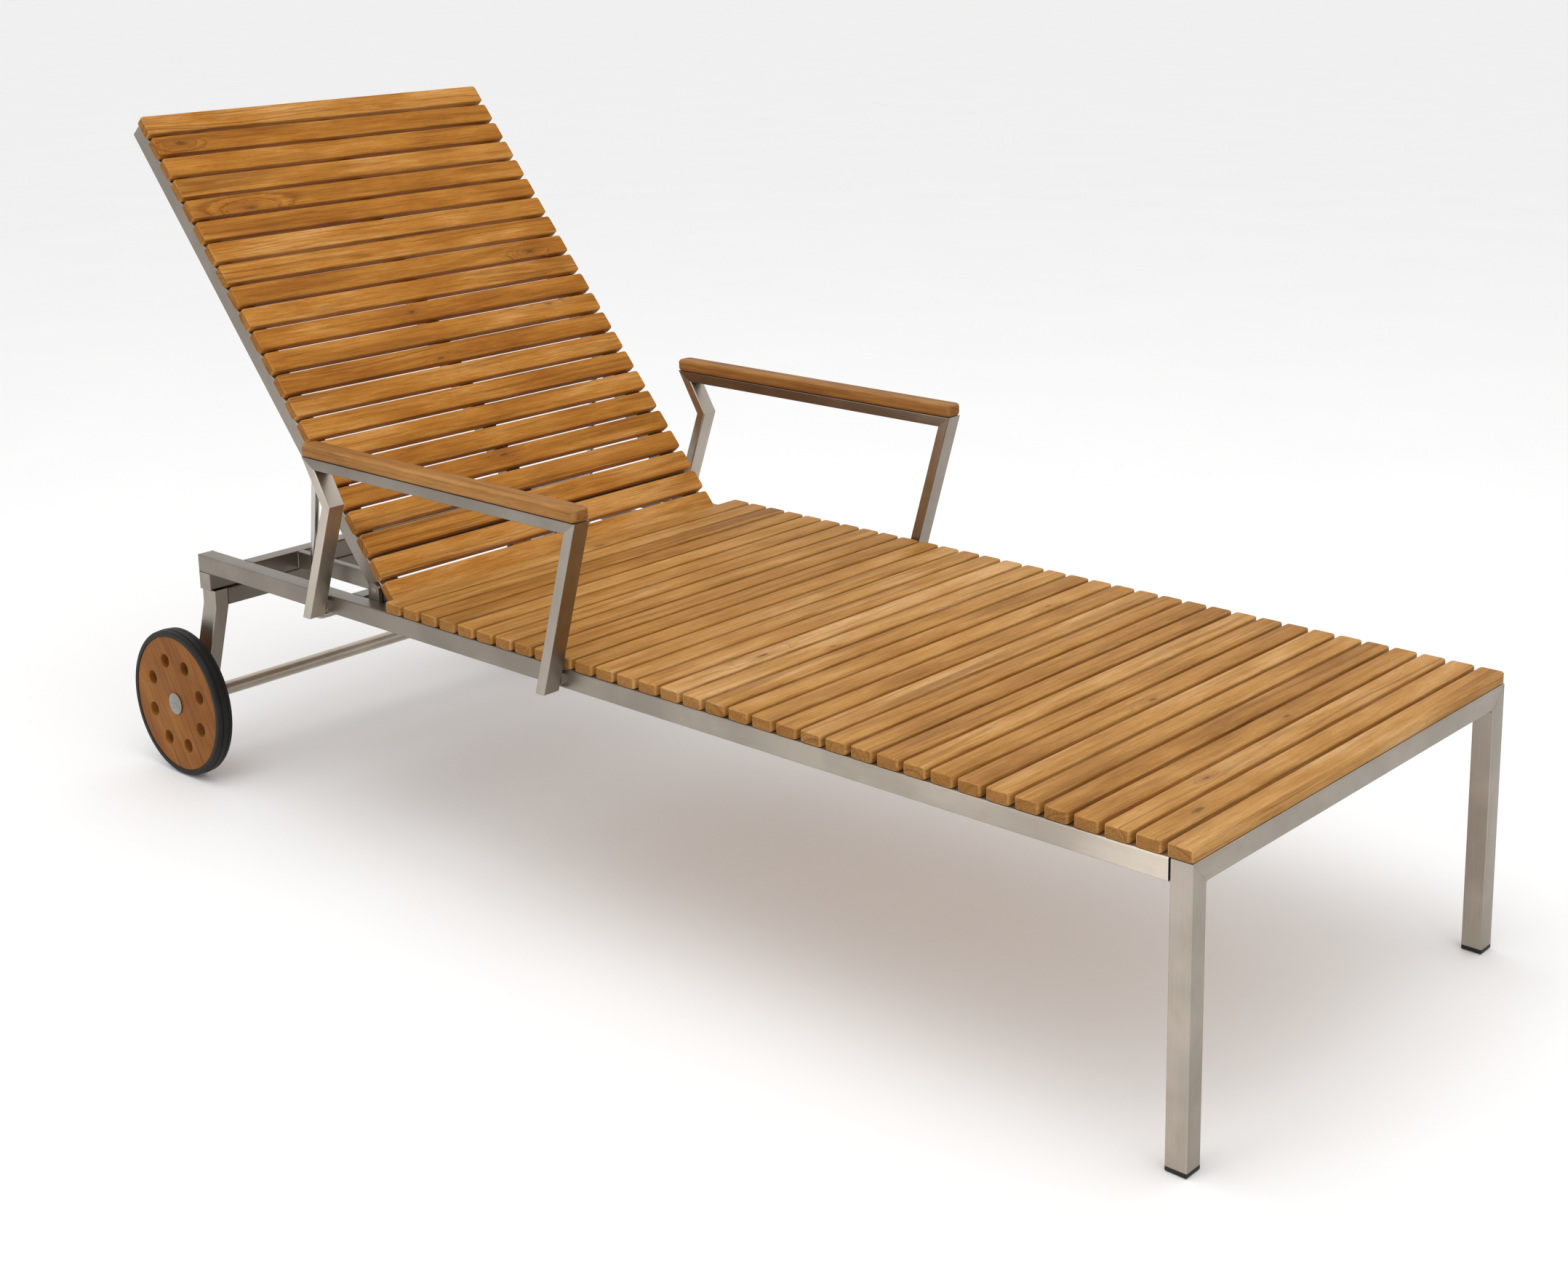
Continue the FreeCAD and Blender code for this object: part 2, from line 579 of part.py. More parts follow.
def tyre(side, at, middle_y):
    body = doc.addObject("PartDesign::Body", "tyre_" + side)
    half, tread = "tyre_width/2", "tyre_radius"
    shoulder, brow = f"({half} - shoulder_inset)", f"({half} - brow_inset)"
    profile = [(f"-{half}", "disc_radius"), (f"-{half}", f"{tread} - tyre_crown"),
               (f"-{shoulder}", f"{tread} - shoulder_drop"), (f"-{brow}", f"{tread} - brow_drop"),
               ("0", tread), (brow, f"{tread} - brow_drop"), (shoulder, f"{tread} - shoulder_drop"),
               (half, f"{tread} - tyre_crown"), (half, "disc_radius")]
    ring = body.newObject("PartDesign::Revolution", "ring")
    ring.Profile = outline(body, "YZ_Plane", profile)
    ring.ReferenceAxis = (ring.Profile[0], ["H_Axis"])
    ring.Angle = 360
    body.Tip = ring
    doc.recompute()
    place(body, at, middle_y, "tyre_radius")
    finish_node(body, "tyre_" + side)


# Armrest outline: the leaning lines of its legs, and where they meet the top tube.
FRONT_SLOPE = "((arm_front_low - arm_front_high) / (arm_top - arm_foot))"
REAR_SLOPE = "((arm_rear_low - arm_elbow_at) / (arm_elbow_height - arm_foot))"
NECK_SLOPE = "((arm_rear_high - arm_elbow_at) / (arm_top - arm_depth - arm_elbow_height))"
FRONT_WIDE = f"(arm_depth * sqrt(1 + {FRONT_SLOPE}^2))"
REAR_WIDE = f"(arm_depth * sqrt(1 + {REAR_SLOPE}^2))"
NECK_WIDE = f"(arm_depth * sqrt(1 + {NECK_SLOPE}^2))"
RAIL_MIDDLE = "(rail_top - tube/2)"
FRONT_BOLT_AT = f"(arm_front_low - {FRONT_SLOPE} * ({RAIL_MIDDLE} - arm_foot) + {FRONT_WIDE}/2)"
REAR_BOLT_AT = f"(arm_rear_low - {REAR_SLOPE} * ({RAIL_MIDDLE} - arm_foot) + {REAR_WIDE}/2)"
FRONT_INNER = f"-(arm_front_high + {FRONT_SLOPE} * arm_depth + {FRONT_WIDE})"
NECK_OUTER = f"-(arm_rear_high + {NECK_SLOPE} * arm_depth + {NECK_WIDE})"
ARM_UNDER = "(arm_top - arm_depth)"
# Height of the outer corner of the rear leg's bend above the leg's foot.
ELBOW_RISE = (f"((arm_rear_low + {REAR_WIDE} - arm_rear_high - {NECK_WIDE}"
              f" + {NECK_SLOPE} * ({ARM_UNDER} - arm_foot)) / ({REAR_SLOPE} + {NECK_SLOPE}))")


def armrests():
    front = [(f"-(arm_front_low + {FRONT_WIDE})", "arm_foot"), ("-arm_front_low", "arm_foot"),
             ("-arm_front_high", "arm_top"), (FRONT_INNER, ARM_UNDER)]
    top = [(FRONT_INNER, ARM_UNDER), ("-arm_front_high", "arm_top"), (NECK_OUTER, "arm_top"),
           ("-arm_rear_high", ARM_UNDER)]
    elbow_x = f"-(arm_rear_low + {REAR_WIDE} - {REAR_SLOPE} * {ELBOW_RISE})"
    rear = [(f"-(arm_rear_low + {REAR_WIDE})", "arm_foot"), ("-arm_rear_low", "arm_foot"),
            ("-arm_elbow_at", "arm_elbow_height"), ("-arm_rear_high", ARM_UNDER), (NECK_OUTER, "arm_top"),
            (elbow_x, f"arm_foot + {ELBOW_RISE}")]
    cap_top = "arm_top + arm_cap_height"
    cap = rectangle(f"{NECK_OUTER} - cap_overhang", "arm_top", "-(arm_front_high - cap_overhang)", cap_top)
    for side, sign in SIDES:
        middle_y = f"{sign} * (half_width + arm_gap + tube/2)"
        place(tube("arm_front_leg_" + side, "XZ_Plane", front, "tube", (0, 2)), FOOT, middle_y)
        place(tube("arm_top_tube_" + side, "XZ_Plane", top, "tube", (0, 2)), FOOT, middle_y)
        place(tube("arm_rear_leg_" + side, "XZ_Plane", rear, "tube", (0, 3)), FOOT, middle_y)
        body = doc.addObject("PartDesign::Body", "arm_cap_" + side)
        solid = pad(body, outline(body, "XZ_Plane", cap), "arm_cap_width")
        upright = edges_where(solid.Shape, lambda point, direction: abs(direction.z) > NEARLY_ALONG)
        corners = fillet(body, solid, upright, "cap_corner")
        brim = edges_where(corners.Shape, lambda point, direction: abs(point.z - number(cap_top)) < CLOSE)
        fillet(body, corners, brim, "cap_round")
        place(body, FOOT, middle_y)
        finish_node(body, "arm_cap_" + side)


def arm_fixings():
    inside, outside = "half_width - tube", "half_width + arm_gap"
    spacers, bolts = [], []
    for _, sign in SIDES:
        for at in (FRONT_BOLT_AT, REAR_BOLT_AT):
            x = f"{FOOT} - {at}"
            spacers.append(drilled("spacer_radius", "bolt_radius + drill_gap", "half_width", outside, x,
                                   RAIL_MIDDLE, sign))
            shank = peg("bolt_radius", inside, outside, x, RAIL_MIDDLE, sign)
            head = peg("bolt_head", f"{inside} - bolt_rise", inside, x, RAIL_MIDDLE, sign)
            bolts.append(joined("Part::MultiFuse", [shank, head]))
    group("arm_spacers", spacers)
    group("arm_bolts", bolts)


HINGE_X = f"{FOOT} - hinge_at"
HINGE_Z = "hinge_height"


def in_back(body, y="0"):
    """Place a body that is drawn lying flat from the hinge axis."""
    place(body, HINGE_X, y, HINGE_Z, turn="back_angle")


def backrest():
    face, rear = "tube/2", "-tube/2"
    inner = "(half_width - stile_inset - stile_width)"
    stile = rectangle("-stile_length", rear, "stile_tail", face)
    for side, sign in SIDES:
        body = tube("back_stile_" + side, "XZ_Plane", stile, "stile_width", (1,))
        bore(body, round_outline(body, "XZ_Plane", "0", "0", "hinge_pin + running_gap"))
        in_back(body, f"{sign} * ({inner} + stile_width/2)")
    rails = (("back_top_rail", "-back_rail_end", "-(back_rail_end - tube)"),
             ("back_bottom_rail", "-(low_rail_at + tube)", "-low_rail_at"))
    for name, left, right in rails:
        in_back(tube(name, "XZ_Plane", rectangle(left, rear, right, face), f"2*{inner}"))
    batten = rectangle("-(back_rail_end - tube)", f"{face} - batten_depth", "-(low_rail_at + tube)", face)
    in_back(tube("back_batten", "XZ_Plane", batten, "batten_width", (1, 3)))
    slat_row("back_slats", "2*(half_width - back_slat_inset)", "back_slats", "back_slat_at",
             (HINGE_X, "0", HINGE_Z), face, turn="back_angle")


def hinges():
    """A plate on the inner face of each rail carries the pin that the stile turns on."""
    rail_face = "(half_width - tube)"
    stile_face = "(half_width - stile_inset - stile_width)"
    tab = rectangle("-(hinge_at + plate_radius)", "plate_foot", "-(hinge_at - plate_radius)", "hinge_height")
    pins = []
    for side, sign in SIDES:
        plate = doc.addObject("PartDesign::Body", "hinge_plate_" + side)
        pad(plate, outline(plate, "XZ_Plane", tab), "plate_width")
        ear = round_outline(plate, "XZ_Plane", "-hinge_at", "hinge_height", "plate_radius")
        pad(plate, ear, "plate_width")
        bore(plate, round_outline(plate, "XZ_Plane", "-hinge_at", "hinge_height", "hinge_pin"))
        place(plate, FOOT, f"{sign} * ({rail_face} - plate_width/2)")
        finish_node(plate, "hinge_plate_" + side)
        end = f"{stile_face} - end_gap"
        shank = peg("hinge_pin", end, rail_face, HINGE_X, HINGE_Z, sign)
        head = peg("pin_head", f"{end} - head_depth", end, HINGE_X, HINGE_Z, sign)
        pins.append(joined("Part::MultiFuse", [shank, head]))
    group("hinge_pins", pins)


def in_stay(body, y="0"):
    """Place a body that is drawn with the stay hanging straight down from its pivot."""
    place(body, f"{FOOT} - {STAY_PIVOT_AT}", y, STAY_PIVOT_HEIGHT, turn="stay_lean")


def stay():
    """Each leg hangs from its eye and turns inwards at the foot, where the cross rod joins it."""
    rod_top, rod_low = "1 - stay_eye", "stay_bend - stay_length"
    for side, sign in SIDES:
        shank = cylinder("stay_rod", f"{rod_top} - ({rod_low})", "0", "0", rod_low, UPRIGHT)
        bend = doc.addObject("Part::Torus", "bend")
        bend.setExpression("Radius1", d("stay_bend"))
        bend.setExpression("Radius2", d("stay_rod"))
        bend.Angle3 = 90
        outward, down, axis = (0, sign, 0), (0, 0, -1), (-sign, 0, 0)
        turn = FreeCAD.Rotation(FreeCAD.Vector(outward), FreeCAD.Vector(down), FreeCAD.Vector(axis), "XYZ")
        bend.Placement = FreeCAD.Placement(FreeCAD.Vector(), turn)
        place(bend, "0", f"{-sign} * stay_bend", rod_low)
        eye = cylinder("stay_eye", "eye_width", "0", "-eye_width/2", "0")
        hole = cylinder("stay_pin + running_gap", "eye_width", "0", "-eye_width/2", "0")
        leg = cut(joined("Part::MultiFuse", [shank, bend, eye]), hole)
        in_stay(leg, f"{sign} * (half_width - stay_inset)")
        finish_node(leg, "stay_leg_" + side)
    half = "(half_width - stay_inset - stay_bend)"
    rod = cylinder("stay_rod", f"2*{half}", f"{FOOT} - {STAY_FOOT_AT}", f"-{half}", STAY_FOOT_HEIGHT)
    finish_node(rod, "stay_cross_rod")


def stay_pins():
    x = f"{FOOT} - {STAY_PIVOT_AT}"
    stile_face = "half_width - stile_inset - stile_width"
    eye_outer, eye_inner = "half_width - stay_inset + eye_width/2", "half_width - stay_inset - eye_width/2"
    pins = []
    for _, sign in SIDES:
        end = f"{eye_inner} - end_gap"
        shank = peg("stay_pin", end, stile_face, x, STAY_PIVOT_HEIGHT, sign)
        collar = peg("stay_collar", f"{eye_outer} + end_gap", stile_face, x, STAY_PIVOT_HEIGHT, sign)
        head = peg("stay_collar", f"{end} - head_depth", end, x, STAY_PIVOT_HEIGHT, sign)
        pins.append(joined("Part::MultiFuse", [shank, collar, head]))
    group("stay_pins", pins)


side_rails()
rail_joiners()
cross_tubes()
inner_bars()
foot_frame()
seat()
wheel_frame()
wheel_pins()
wheels()
armrests()
arm_fixings()
backrest()
hinges()
stay_pins()
stay()

doc.recompute()
os.makedirs("parts", exist_ok=True)
for node in nodes:
    if any(word in " ".join(node.State) for word in ("Invalid", "Error")):
        raise RuntimeError(f"{node.Label}: {node.State}")
    if node.Shape.isNull() or not node.Shape.isValid() or not node.Shape.Solids:
        raise RuntimeError(f"{node.Label}: bad shape")
    node.Shape.exportStep(f"parts/{node.Label}.step")
    box = node.Shape.BoundBox
    print(f"{node.Label:24s} {len(node.Shape.Solids):3d} solids {node.Shape.Volume / 1000:9.2f} cm3"
          f"  x {box.XMin:8.1f} {box.XMax:8.1f}  y {box.YMin:7.1f} {box.YMax:7.1f}"
          f"  z {box.ZMin:7.1f} {box.ZMax:7.1f}")
print(len(nodes), "nodes")
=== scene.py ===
import json
import math
import random

import bmesh
import bpy
from mathutils import Matrix, Vector


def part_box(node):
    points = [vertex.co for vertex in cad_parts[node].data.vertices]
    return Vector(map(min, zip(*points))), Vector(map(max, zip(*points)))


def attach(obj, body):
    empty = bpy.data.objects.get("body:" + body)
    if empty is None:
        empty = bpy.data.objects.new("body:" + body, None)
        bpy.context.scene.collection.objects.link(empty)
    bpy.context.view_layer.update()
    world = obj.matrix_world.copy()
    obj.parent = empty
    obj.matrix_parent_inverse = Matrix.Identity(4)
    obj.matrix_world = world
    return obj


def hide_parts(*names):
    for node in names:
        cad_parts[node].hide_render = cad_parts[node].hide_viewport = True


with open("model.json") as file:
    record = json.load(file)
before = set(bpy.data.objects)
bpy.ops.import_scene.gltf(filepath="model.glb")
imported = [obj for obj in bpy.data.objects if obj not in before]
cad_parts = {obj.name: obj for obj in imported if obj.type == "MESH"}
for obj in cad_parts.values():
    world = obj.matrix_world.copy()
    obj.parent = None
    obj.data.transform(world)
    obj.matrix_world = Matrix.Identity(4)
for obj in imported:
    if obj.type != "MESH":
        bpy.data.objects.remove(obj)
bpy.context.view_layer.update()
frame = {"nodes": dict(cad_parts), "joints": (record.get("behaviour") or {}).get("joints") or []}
chance = random.Random(7)

# Sizes, in metres, that the slats and wheels share with the frame.
SLAT_PITCH, SLAT_WIDTH, SLAT_THICKNESS = 0.036, 0.030, 0.014
SLAT_ARRIS, SLAT_CORNER = 0.0022, 0.0045
BACK_ANGLE = math.radians(49.7)
BACK_SLATS, BACK_SLAT_START, BACK_SLAT_MIDDLE = 22, -0.016, 0.0195
DISC_RADIUS, DISC_WIDTH = 0.098, 0.022
HOLES, HOLE_RING, HOLE_RADIUS, HOLE_START = 8, 0.063, 0.010, math.radians(20)
TYRE_RADIUS, TYRE_WIDTH = 0.107, 0.024
BUSH_RADIUS = 0.011
CAP_RADIUS, CAP_RISE = 0.0155, 0.0045

# Small sizes, in metres, that only the visual model has.
BOARD_CUTS, ROUNDING_STEPS = 16, 4
SLAT_TRIM, SLAT_BOW = 0.0006, 0.0003
ARMREST_ARRIS, ARMREST_CORNER, ARMREST_BOW = 0.0045, 0.008, 0.0002
DISC_EASE = 0.0012
TYRE_SHOULDER, TYRE_GROOVE = 0.0042, 0.0009
CAP_RIM, CAP_DISH_RADIUS, CAP_DISH_DEPTH = 0.0005, 0.0062, 0.0003
PINHOLES, PINHOLE_RING, PINHOLE_START = 3, 0.0042, math.radians(35)
BEAD_STEP, BEAD_INSET = 0.0012, 0.002
SEAM_RADIUS, CROSSBAR_BEAD, INNER_BAR_BEAD, LOWER_TUBE_BEAD = 0.0005, 0.0011, 0.0009, 0.0010
WEB_SIZE, WEB_INSET = 0.005, 0.003

UP_BACK = Vector((-math.cos(BACK_ANGLE), 0, math.sin(BACK_ANGLE)))
BACK_FRONT = Vector((math.sin(BACK_ANGLE), 0, math.cos(BACK_ANGLE)))
X_AXIS, Y_AXIS, Z_AXIS = Vector((1, 0, 0)), Vector((0, 1, 0)), Vector((0, 0, 1))
SIDES = (("near", -1), ("far", 1))
joints = {joint["name"]: joint for joint in frame["joints"]}


# ---------------------------------------------------------------- materials

class Shader:
    """A Principled material and short calls for the nodes that feed it."""

    def __init__(self, name):
        self.material = bpy.data.materials.new(name)
        self.material.use_nodes = True
        self.tree = self.material.node_tree
        self.surface = self.tree.nodes["Principled BSDF"]
        coordinates = self.tree.nodes.new("ShaderNodeTexCoord")
        self.place = coordinates.outputs["Object"]
        self.normal = coordinates.outputs["Normal"]

    def feed(self, socket, value):
        """Links a socket to another node's output, or sets it to a plain value."""
        if isinstance(value, bpy.types.NodeSocket):
            self.tree.links.new(value, socket)
        else:
            socket.default_value = value

    def node(self, kind, inputs=(), **settings):
        made = self.tree.nodes.new(kind)
        for key, value in settings.items():
            setattr(made, key, value)
        for key, value in dict(inputs).items():
            self.feed(made.inputs[key], value)
        return made

    def math(self, operation, *values, clamp=False):
        made = self.node("ShaderNodeMath", enumerate(values), operation=operation, use_clamp=clamp)
        return made.outputs[0]

    def vector(self, operation, *values):
        return self.node("ShaderNodeVectorMath", enumerate(values), operation=operation).outputs[0]

    def distance(self, a, b):
        return self.math("SQRT", self.math("ADD", self.math("POWER", a, 2.0), self.math("POWER", b, 2.0)))

    def dot(self, a, b):
        return self.node("ShaderNodeVectorMath", {0: a, 1: b}, operation="DOT_PRODUCT").outputs["Value"]

    def split(self, value):
        return self.node("ShaderNodeSeparateXYZ", {0: value}).outputs

    def join(self, x, y, z):
        return self.node("ShaderNodeCombineXYZ", {0: x, 1: y, 2: z}).outputs[0]

    def noise(self, place, scale=1.0, detail=2.0, roughness=0.5):
        inputs = {"Vector": place, "Scale": scale, "Detail": detail, "Roughness": roughness}
        return self.node("ShaderNodeTexNoise", inputs).outputs["Fac"]

    def step(self, value, low, high, to_low=0.0, to_high=1.0):
        """A smooth step between two values; with low above high it falls instead of rising."""
        inputs = {"Value": value, "From Min": low, "From Max": high, "To Min": to_low, "To Max": to_high}
        return self.node("ShaderNodeMapRange", inputs, interpolation_type="SMOOTHSTEP").outputs[0]

    def mix(self, factor, a, b, blend="MIX"):
        made = self.node("ShaderNodeMix", data_type="RGBA", blend_type=blend)
        for index, value in ((0, factor), (6, a), (7, b)):
            self.feed(made.inputs[index], value)
        return made.outputs[2]

    def stain(self, under, mask, strength, tint):
        """Lays a tint over a colour where the mask says, up to the strength."""
        return self.mix(self.math("MULTIPLY", mask, strength), under, colour(*tint))

    def ramp(self, value, stops):
        made = self.node("ShaderNodeValToRGB", {0: value})
        elements = made.color_ramp.elements
        while len(elements) < len(stops):
            elements.new(0.5)
        for element, (position, tint) in zip(elements, stops):
            element.position = position
            element.color = colour(*tint)
        return made.outputs[0]

    def attribute(self, name):
        return self.node("ShaderNodeAttribute", attribute_name=name).outputs["Vector"]

    def bump(self, height, distance, strength=1.0):
        inputs = {"Height": height, "Distance": distance, "Strength": strength}
        self.feed(self.surface.inputs["Normal"], self.node("ShaderNodeBump", inputs).outputs[0])

    def finish(self, **sockets):
        for name, value in sockets.items():
            self.feed(self.surface.inputs[name.replace("_", " ")], value)
        return self.material

    def rounded_edge(self):
        """1 on rounded arrises, 0 on flats, from the way the surface faces in the piece's own axes."""
        x, y, z = self.split(self.vector("ABSOLUTE", self.normal))[0:3]
        largest = self.math("MAXIMUM", self.math("MAXIMUM", x, y), z)
        return self.step(largest, 0.985, 0.80)


def colour(r, g, b):
    return (r, g, b, 1)


# Colours inside the teak that are the same on every board.
PORE_BROWN = (0.11, 0.042, 0.012)
KNOT_HALO, KNOT_HEART = (0.20, 0.080, 0.024), (0.085, 0.034, 0.014)
END_PALE, END_DARK, END_RING = (0.285, 0.128, 0.036), (0.135, 0.052, 0.014), (0.095, 0.036, 0.010)


def knot_pull(s, knot_x, knot_y, knot_size, stretched):
    """Each point's distance from the board's knot, and how strongly the knot bends the grain there."""
    x, y = s.split(s.place)[0:2]
    along = s.math("MULTIPLY", s.math("SUBTRACT", x, knot_x), 0.30)
    across = s.math("SUBTRACT", y, knot_y)
    ragged = s.math("MULTIPLY", s.math("SUBTRACT", s.noise(stretched(110, 300), detail=2.0), 0.5), 0.0055)
    far = s.math("ABSOLUTE", s.math("ADD", s.distance(along, across), ragged))
    reach = s.math("DIVIDE", far, s.math("ADD", s.math("MULTIPLY", knot_size, 1.7), 0.00001))
    return far, s.math("DIVIDE", 1.0, s.math("ADD", 1.0, s.math("POWER", reach, 4.0)))


def growth_rings(s, seed, flatness, knot_far, pull, stretched):
    """The rings of the trunk that the board was cut from, wavering along it and bent round its knot.

    The heart of the trunk lies below the board: close by in a flat-sawn board, which shows arches, and
    far off in a quarter-sawn one, which shows straight lines.
    """
    x, y, z = s.split(s.place)[0:3]
    sway = s.math("MULTIPLY", s.math("SUBTRACT", s.noise(stretched(3.2, 14), detail=1.5), 0.5), 0.030)
    sway = s.math("MULTIPLY", sway, flatness)
    drawn = s.math("FRACT", s.math("MULTIPLY", seed, 17.0))
    heart_y = s.math("MULTIPLY", s.math("SUBTRACT", drawn, 0.5), 0.05)
    heart_z = s.math("SUBTRACT", 0.085, s.math("MULTIPLY", flatness, 0.070))
    ring = s.distance(s.math("ADD", s.math("SUBTRACT", y, heart_y), sway), s.math("ADD", z, heart_z))
    ring = s.math("ADD", s.math("MULTIPLY", ring, s.math("SUBTRACT", 1.0, pull)),
                  s.math("MULTIPLY", knot_far, pull))
    ring_place = s.join(s.math("ADD", s.math("MULTIPLY", ring, 330.0), s.math("MULTIPLY", seed, 40.0)),
                        s.math("MULTIPLY", x, 1.3), 0.0)
    return s.noise(ring_place, detail=3.0, roughness=0.62)


def teak(name, tones, streak, contrast=1.0, sheen=0.09, turn=0.0):
    """Oiled teak with its grain along the piece's own X, or turned from it about Z.

    Each board brings its own seed, tone, figure and knot.
    """
    s = Shader(name)
    if turn:
        s.place, s.normal = (s.node("ShaderNodeVectorRotate", {"Vector": value, "Angle": turn},
                                    rotation_type="Z_AXIS").outputs[0] for value in (s.place, s.normal))
    seed, tone, flatness = s.split(s.attribute("board"))[0:3]
    knot_x, knot_y, knot_size = s.split(s.attribute("knot"))[0:3]
    shift = s.vector("MULTIPLY", s.join(seed, seed, seed), (13.1, 7.7, 3.3))
    palest = tones[-1][1]

    def stretched(along, across):
        return s.vector("ADD", s.vector("MULTIPLY", s.place, (along, across, across)), shift)

    knot_far, pull = knot_pull(s, knot_x, knot_y, knot_size, stretched)
    rings = growth_rings(s, seed, flatness, knot_far, pull, stretched)
    dark_rings, pale_rings = s.step(rings, 0.50, 0.70), s.step(rings, 0.44, 0.30)
    fibre = s.noise(stretched(20, 620), detail=4.0, roughness=0.72)
    pores = s.step(s.noise(stretched(75, 1500), detail=2.0), 0.60, 0.72)
    patch = s.noise(stretched(7, 30), detail=3.0)
    smoke = s.step(s.noise(stretched(5.5, 95), detail=4.0, roughness=0.6), 0.50, 0.72)

    blend = s.math("ADD", s.math("MULTIPLY", tone, 0.55), s.math("MULTIPLY", patch, 0.62))
    blend = s.math("ADD", s.math("SUBTRACT", blend, 0.065),
                   s.math("MULTIPLY", s.math("SUBTRACT", fibre, 0.5), 0.62))
    wood = s.ramp(blend, tones)
    wood = s.stain(wood, smoke, 0.42 * contrast, streak)
    wood = s.stain(wood, dark_rings, 0.58 * contrast, streak)
    wood = s.stain(wood, pores, 0.42 * contrast, PORE_BROWN)
    wood = s.stain(wood, pale_rings, 0.30, palest)
    heart = s.step(knot_far, s.math("MULTIPLY", knot_size, 0.95), s.math("MULTIPLY", knot_size, 0.20))
    has_knot = s.math("GREATER_THAN", knot_size, 0.0001)
    wood = s.stain(wood, s.math("MULTIPLY", pull, has_knot), 0.30, KNOT_HALO)
    wood = s.stain(wood, s.math("MULTIPLY", heart, has_knot), 0.70, KNOT_HEART)

    end = s.step(s.math("ABSOLUTE", s.split(s.normal)[0]), 0.70, 0.95)
    speckle = s.step(s.noise(stretched(900, 900), detail=2.0), 0.42, 0.66)
    end_wood = s.stain(s.mix(speckle, colour(*END_PALE), colour(*END_DARK)), dark_rings, 0.55, END_RING)
    wood = s.mix(s.math("MULTIPLY", end, 0.74), wood, end_wood)
    worn = s.math("MULTIPLY", s.rounded_edge(), s.step(s.noise(stretched(20, 60), detail=2.0), 0.35, 0.65))
    wood = s.stain(wood, worn, 0.30, palest)

    rough = s.math("ADD", s.math("MULTIPLY", fibre, 0.20), s.math("MULTIPLY", pores, 0.12))
    rough = s.math("ADD", rough, s.math("ADD", 0.42, s.math("MULTIPLY", end, 0.18)))
    height = s.math("SUBTRACT", s.math("MULTIPLY", fibre, 0.7), s.math("MULTIPLY", pores, 0.8))
    height = s.math("SUBTRACT", height, s.math("MULTIPLY", dark_rings, 0.35))
    s.bump(height, 0.00022, 0.55)
    return s.finish(Base_Color=wood, Roughness=rough, Specular_IOR_Level=sheen)


# Steel colours, and where along the length, in metres, its painted shade at the head and painted highlight
# at the foot fade in.
FRAME_STEEL, ROD_STEEL, FITTING_STEEL = (0.445, 0.392, 0.332), (0.60, 0.585, 0.56), (0.56, 0.55, 0.53)
SMEAR_BROWN, HAIRLINE_PALE = (0.36, 0.30, 0.235), (0.60, 0.55, 0.49)
HEAD_SHADE_X, FOOT_HIGHLIGHT_X = (-0.25, 0.85), (0.70, 0.86)
CROSS_FACE_SHADE = 0.80


def steel(name, along, base=FRAME_STEEL, smooth=0.27, brushing=1.0, tone=1.0, head_shade_tone=1.0, foot_highlight_tone=1.0):
    """Brushed stainless steel whose brush marks run along the given direction.

    tone scales the whole metal of a part, as painted light and shade for how that part faces the lamps. The
    head-end factor darkens it further towards the head end as painted shade, and the foot-end factor
    lightens the last hand's breadth at the foot as a painted highlight. Both stand in for what a studio
    reflects in such a frame, as does the painted shade on faces that look along the length.
    """
    s = Shader(name)
    along = Vector(along).normalized()
    helper = Z_AXIS if abs(along.z) < 0.8 else X_AXIS
    across = along.cross(helper).normalized()
    third = along.cross(across)
    lengthwise, sideways, depth = (s.dot(s.place, tuple(axis)) for axis in (along, across, third))

    def stretched(length, width):
        return s.join(s.math("MULTIPLY", lengthwise, length), s.math("MULTIPLY", sideways, width),
                      s.math("MULTIPLY", depth, width))

    hairlines = s.noise(stretched(14, 2600), detail=3.0, roughness=0.65)
    bands = s.noise(stretched(5, 240), detail=2.0)
    cloud = s.noise(s.place, scale=9.0, detail=3.0, roughness=0.6)
    smear = s.noise(stretched(26, 38), detail=2.0)
    dark = tuple(0.80 * value for value in base)
    metal = s.mix(s.step(cloud, 0.35, 0.68), colour(*dark), colour(*base))
    metal = s.stain(metal, s.step(smear, 0.50, 0.72), 0.42, SMEAR_BROWN)
    metal = s.stain(metal, s.step(hairlines, 0.40, 0.75), 0.20 * brushing, HAIRLINE_PALE)
    x = s.split(s.place)[0]
    # Painted shade, darker towards the head end, and a painted highlight, lighter at the foot end.
    painted_head_shade = s.step(x, *HEAD_SHADE_X, tone * head_shade_tone, tone)
    painted_foot_highlight = s.step(x, *FOOT_HIGHLIGHT_X, 1.0, foot_highlight_tone)
    # Painted shade on faces that look along the length.
    cross_face = s.step(s.math("ABSOLUTE", s.split(s.normal)[0]), 0.80, 0.97, 1.0, CROSS_FACE_SHADE)
    shade = s.math("MULTIPLY", s.math("MULTIPLY", painted_head_shade, painted_foot_highlight), cross_face)
    metal = s.mix(1.0, metal, shade, "MULTIPLY")
    rough = s.math("ADD", s.math("MULTIPLY", hairlines, 0.16 * brushing), s.math("MULTIPLY", bands, 0.07))
    rough = s.math("ADD", rough, s.math("ADD", smooth - 0.09, s.math("MULTIPLY", cloud, 0.12)))
    s.bump(s.math("ADD", hairlines, s.math("MULTIPLY", bands, 0.6)), 0.00005, 0.30 * brushing)
    return s.finish(Base_Color=metal, Roughness=rough, Metallic=1.0)


